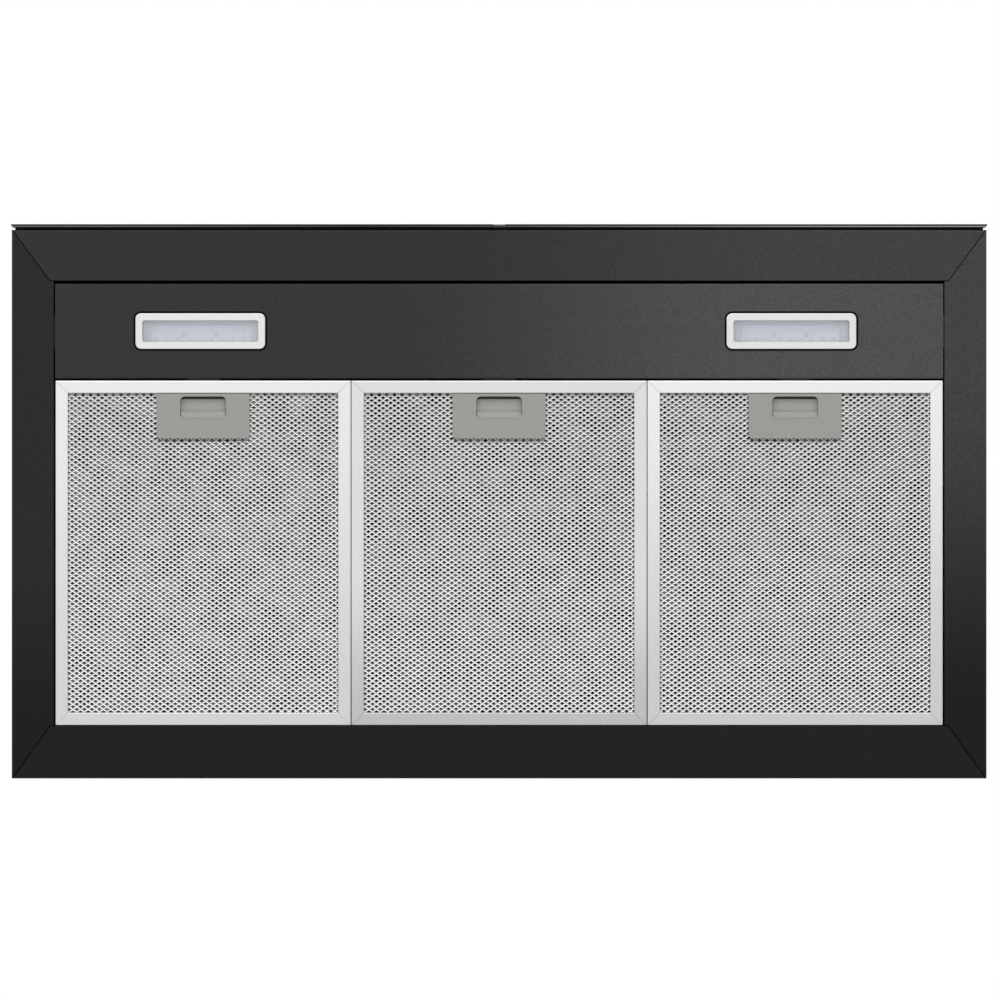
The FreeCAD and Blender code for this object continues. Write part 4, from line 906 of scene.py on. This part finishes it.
board_mask, board_shader, board_place = new_finish("white_solder_mask", rear_mask, 0.4)
board_axes = add(board_mask, "ShaderNodeSeparateXYZ", {}, {0: board_place})
board_shade_drift = add(board_mask, "ShaderNodeMapRange", {}, {
    "Value": board_axes.outputs["Y"], "From Min": board_low[1], "From Max": board_high[1],
})
add(board_mask, "ShaderNodeMix", {"data_type": "RGBA"}, {
    0: board_shade_drift.outputs[0], 6: linear(shaded_front_mask), 7: linear(rear_mask),
}, to=board_shader.inputs["Base Color"], output=2)
mask_grain = add(board_mask, "ShaderNodeTexNoise", {}, {"Vector": board_place, "Scale": 1 / spark_grain})
add(board_mask, "ShaderNodeBump", {}, {
    "Height": mask_grain.outputs[0], "Distance": spark_depth,
}, to=board_shader.inputs["Normal"])
cup_plastic = moulded("white_nylon_cup", "#E6E2DE", 0.4)
cup_filling = moulded("yellow_phosphor_silicone", "#DCCBAC", 0.35)
print("board finishes:", board_mask.name, cup_plastic.name, cup_filling.name)

# %% [markdown]
# One cup is modelled from a block: its lower face is inset, which leaves a rim, and sunk. Then arrays
# repeat it. The cups could be a pattern on the board, but they stand out from it and catch the light.

# %% LED cups
led_pitch = (10.1 * mm, 7.4 * mm)
led_count = (9, 2)
cup_size = Vector((3.5 * mm, 2.8 * mm, 0.8 * mm))
cup_rim = 0.5 * mm
cup_depth = 0.25 * mm
face_play = 0.01 * mm


def block(name, low, high):
    bpy.ops.object.select_all(action="DESELECT")
    bpy.ops.mesh.primitive_cube_add(size=1)
    piece = bpy.context.object
    piece.name = name
    bpy.ops.object.mode_set(mode="EDIT")
    bpy.ops.mesh.select_all(action="SELECT")
    bpy.ops.transform.resize(value=high - low, center_override=(0, 0, 0))
    bpy.ops.transform.translate(value=(low + high) / 2)
    bpy.ops.object.mode_set(mode="OBJECT")
    return piece


def sink_lower_face(lowest, rim, depth):
    choose_faces(lambda face: face.calc_center_median().z < lowest + face_play)
    bpy.ops.mesh.inset(thickness=rim)
    bpy.ops.mesh.extrude_region_move(TRANSFORM_OT_translate={"value": (0, 0, depth)})


def led_cups(name, first):
    cups = block(name, first - cup_size / 2, first + cup_size / 2)
    cups.data.materials.append(cup_plastic)
    cups.data.materials.append(cup_filling)
    bpy.ops.object.mode_set(mode="EDIT")
    sink_lower_face(first.z - cup_size.z / 2, cup_rim, cup_depth)
    cups.active_material_index = 1
    bpy.ops.object.material_slot_assign()
    bpy.ops.object.mode_set(mode="OBJECT")
    repeat(cups, led_count[0], (led_pitch[0], 0, 0))
    repeat(cups, led_count[1], (0, led_pitch[1], 0))
    return cups


print("cups on a board:", led_count[0] * led_count[1])

# %% [markdown]
# The screws are low cylinders whose lower face is sunk in the same way, as a pan head with a wide
# recess. At this size no more of the recess would show.

# %% Board screws
screw_radius = 2.6 * mm
screw_head = 0.9 * mm
screw_rim = 1.0 * mm
screw_recess = 0.4 * mm
screw_step = 30 * mm


def board_screws(name, first):
    bpy.ops.object.select_all(action="DESELECT")
    bpy.ops.mesh.primitive_cylinder_add(vertices=20, radius=screw_radius, depth=screw_head, location=first)
    screws = bpy.context.object
    screws.name = name
    bpy.ops.object.transform_apply()
    screws.data.materials.append(zinc_screw)
    bpy.ops.object.mode_set(mode="EDIT")
    sink_lower_face(first.z - screw_head / 2, screw_rim, screw_recess)
    bpy.ops.object.mode_set(mode="OBJECT")
    repeat(screws, 2, (screw_step, 0, 0))
    return screws


print("screws stand", screw_step / mm, "mm apart")

# %% [markdown]
# A board is a block with a fine bevel along its edges, as a routed board has. Its cups and screws are
# joined to it, so each lamp has one piece in place of the solid of its board. The rows and the screws
# sit a little off the middle of the board.

# %% LED boards
board_bevel = 0.4 * mm
row_shift = Vector((-0.9 * mm, 0.9 * mm, 0))
led_reach = Vector((led_pitch[0] * (led_count[0] - 1), led_pitch[1] * (led_count[1] - 1), 0)) / 2

for side in lamps:
    low, high = [Vector(corner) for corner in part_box("led_board_" + side)]
    board = block("led_strip_" + side, Vector((low.x, low.y, low.z + cup_size.z)), high)
    board.data.materials.append(board_mask)
    apply_modifier(board, "BEVEL", width=board_bevel, segments=2)
    row_middle = Vector(((low.x + high.x) / 2, (low.y + high.y) / 2, low.z)) + row_shift
    cups = led_cups("cups_" + side, row_middle - led_reach + Vector((0, 0, cup_size.z / 2)))
    screws = board_screws("screws_" + side, row_middle + Vector((-screw_step / 2, 0, screw_head / 2)))
    bpy.ops.object.select_all(action="DESELECT")
    for piece in (cups, screws, board):
        piece.select_set(True)
    bpy.context.view_layer.objects.active = board
    bpy.ops.object.join()
    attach(board, "canopy")
    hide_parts("led_board_" + side)
    print("board", side, len(board.data.polygons), "faces")

# %% [markdown]
# Inside each latch cover a black bar lies along the front edge of the finger window. It is a dark piece
# put where there is only shade: from below it is the painted shadow at the front of the pocket. It is a
# bar with one rounded edge, black without shine. It is kept low, because the slider's tongue passes
# above it.

# %% Latch shadow bars
cover_depth = 1.4 * mm
window_margin = 2.6 * mm
plate_length = 41.4 * mm
shadow_bar_size = Vector((44.0 * mm, 4.2 * mm, 1.85 * mm))
shadow_bar_show = 2.3 * mm
edge_radius = 1.2 * mm
edge_steps = 4
corner_play = 0.1 * mm
# A black bar put where there is only shade: painted shadow.
shadow_bar_black = moulded("black_painted_shadow", "#141311", 0.7)

for side in sides:
    cover_low, cover_high = [Vector(corner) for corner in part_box("latch_cover_" + side)]
    plate_front = cover_high.y - plate_length
    rear = plate_front + window_margin + shadow_bar_show
    low = Vector((
        (cover_low.x + cover_high.x - shadow_bar_size.x) / 2, rear - shadow_bar_size.y, underside + cover_depth,
    ))
    shadow_bar = block("latch_shadow_bar_" + side, low, low + shadow_bar_size)
    bpy.ops.object.mode_set(mode="EDIT")
    choose(lambda point: point.y > rear - corner_play and point.z < low.z + corner_play)
    bpy.ops.mesh.bevel(offset=edge_radius, segments=edge_steps)
    bpy.ops.object.mode_set(mode="OBJECT")
    shadow_bar.data.materials.append(shadow_bar_black)
    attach(shadow_bar, "filter_" + side)
    print("shadow_bar", side, len(shadow_bar.data.polygons), "faces")

# %% [markdown]
# Behind each slider a bowed leaf of drawn steel pushes the latch forwards. The leaf is modelled again
# here: Spin sweeps the end face of the strip along the bow, about its centre. The leaf could be bent
# from a bar, but a swept arc is exact. The real leaf flattens against the rear wall of its box as the
# latch is pulled back; this one keeps its bow.

# %% Leaf springs
strip_thickness = 0.4 * mm
bow_steps = 24

for side in sides:
    low, high = [Vector(corner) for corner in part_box("latch_spring_" + side)]
    bow = high.y - low.y
    half_span = (high.x - low.x) / 2
    radius = (half_span ** 2 + bow ** 2) / (2 * bow)
    half_turn = math.asin(half_span / radius)
    centre = Vector(((low.x + high.x) / 2, low.y + radius, (low.z + high.z) / 2))
    way_out = Vector((-math.sin(half_turn), -math.cos(half_turn), 0))
    bpy.ops.object.select_all(action="DESELECT")
    bpy.ops.mesh.primitive_plane_add(
        size=1, location=centre + (radius - strip_thickness / 2) * way_out,
        rotation=(0, math.pi / 2, -half_turn),
    )
    leaf = bpy.context.object
    leaf.name = "leaf_spring_" + side
    leaf.scale = (high.z - low.z, strip_thickness, 1)
    bpy.ops.object.transform_apply()
    bpy.ops.object.mode_set(mode="EDIT")
    bpy.ops.mesh.select_all(action="SELECT")
    bpy.ops.mesh.spin(steps=bow_steps, angle=-2 * half_turn, center=centre, axis=(0, 0, 1))
    bpy.ops.mesh.select_all(action="SELECT")
    bpy.ops.mesh.normals_make_consistent(inside=False)
    bpy.ops.object.mode_set(mode="OBJECT")
    bpy.ops.object.shade_smooth_by_angle(angle=crease_angle)
    leaf.data.materials.append(bright_steel)
    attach(leaf, "filter_" + side)
    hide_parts("latch_spring_" + side)
    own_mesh(leaf)
    across = [vertex.co.x - centre.x for vertex in leaf.data.vertices]
    print("spring", side, "spans", round(min(across) / mm, 2), "to", round(max(across) / mm, 2), "mm")
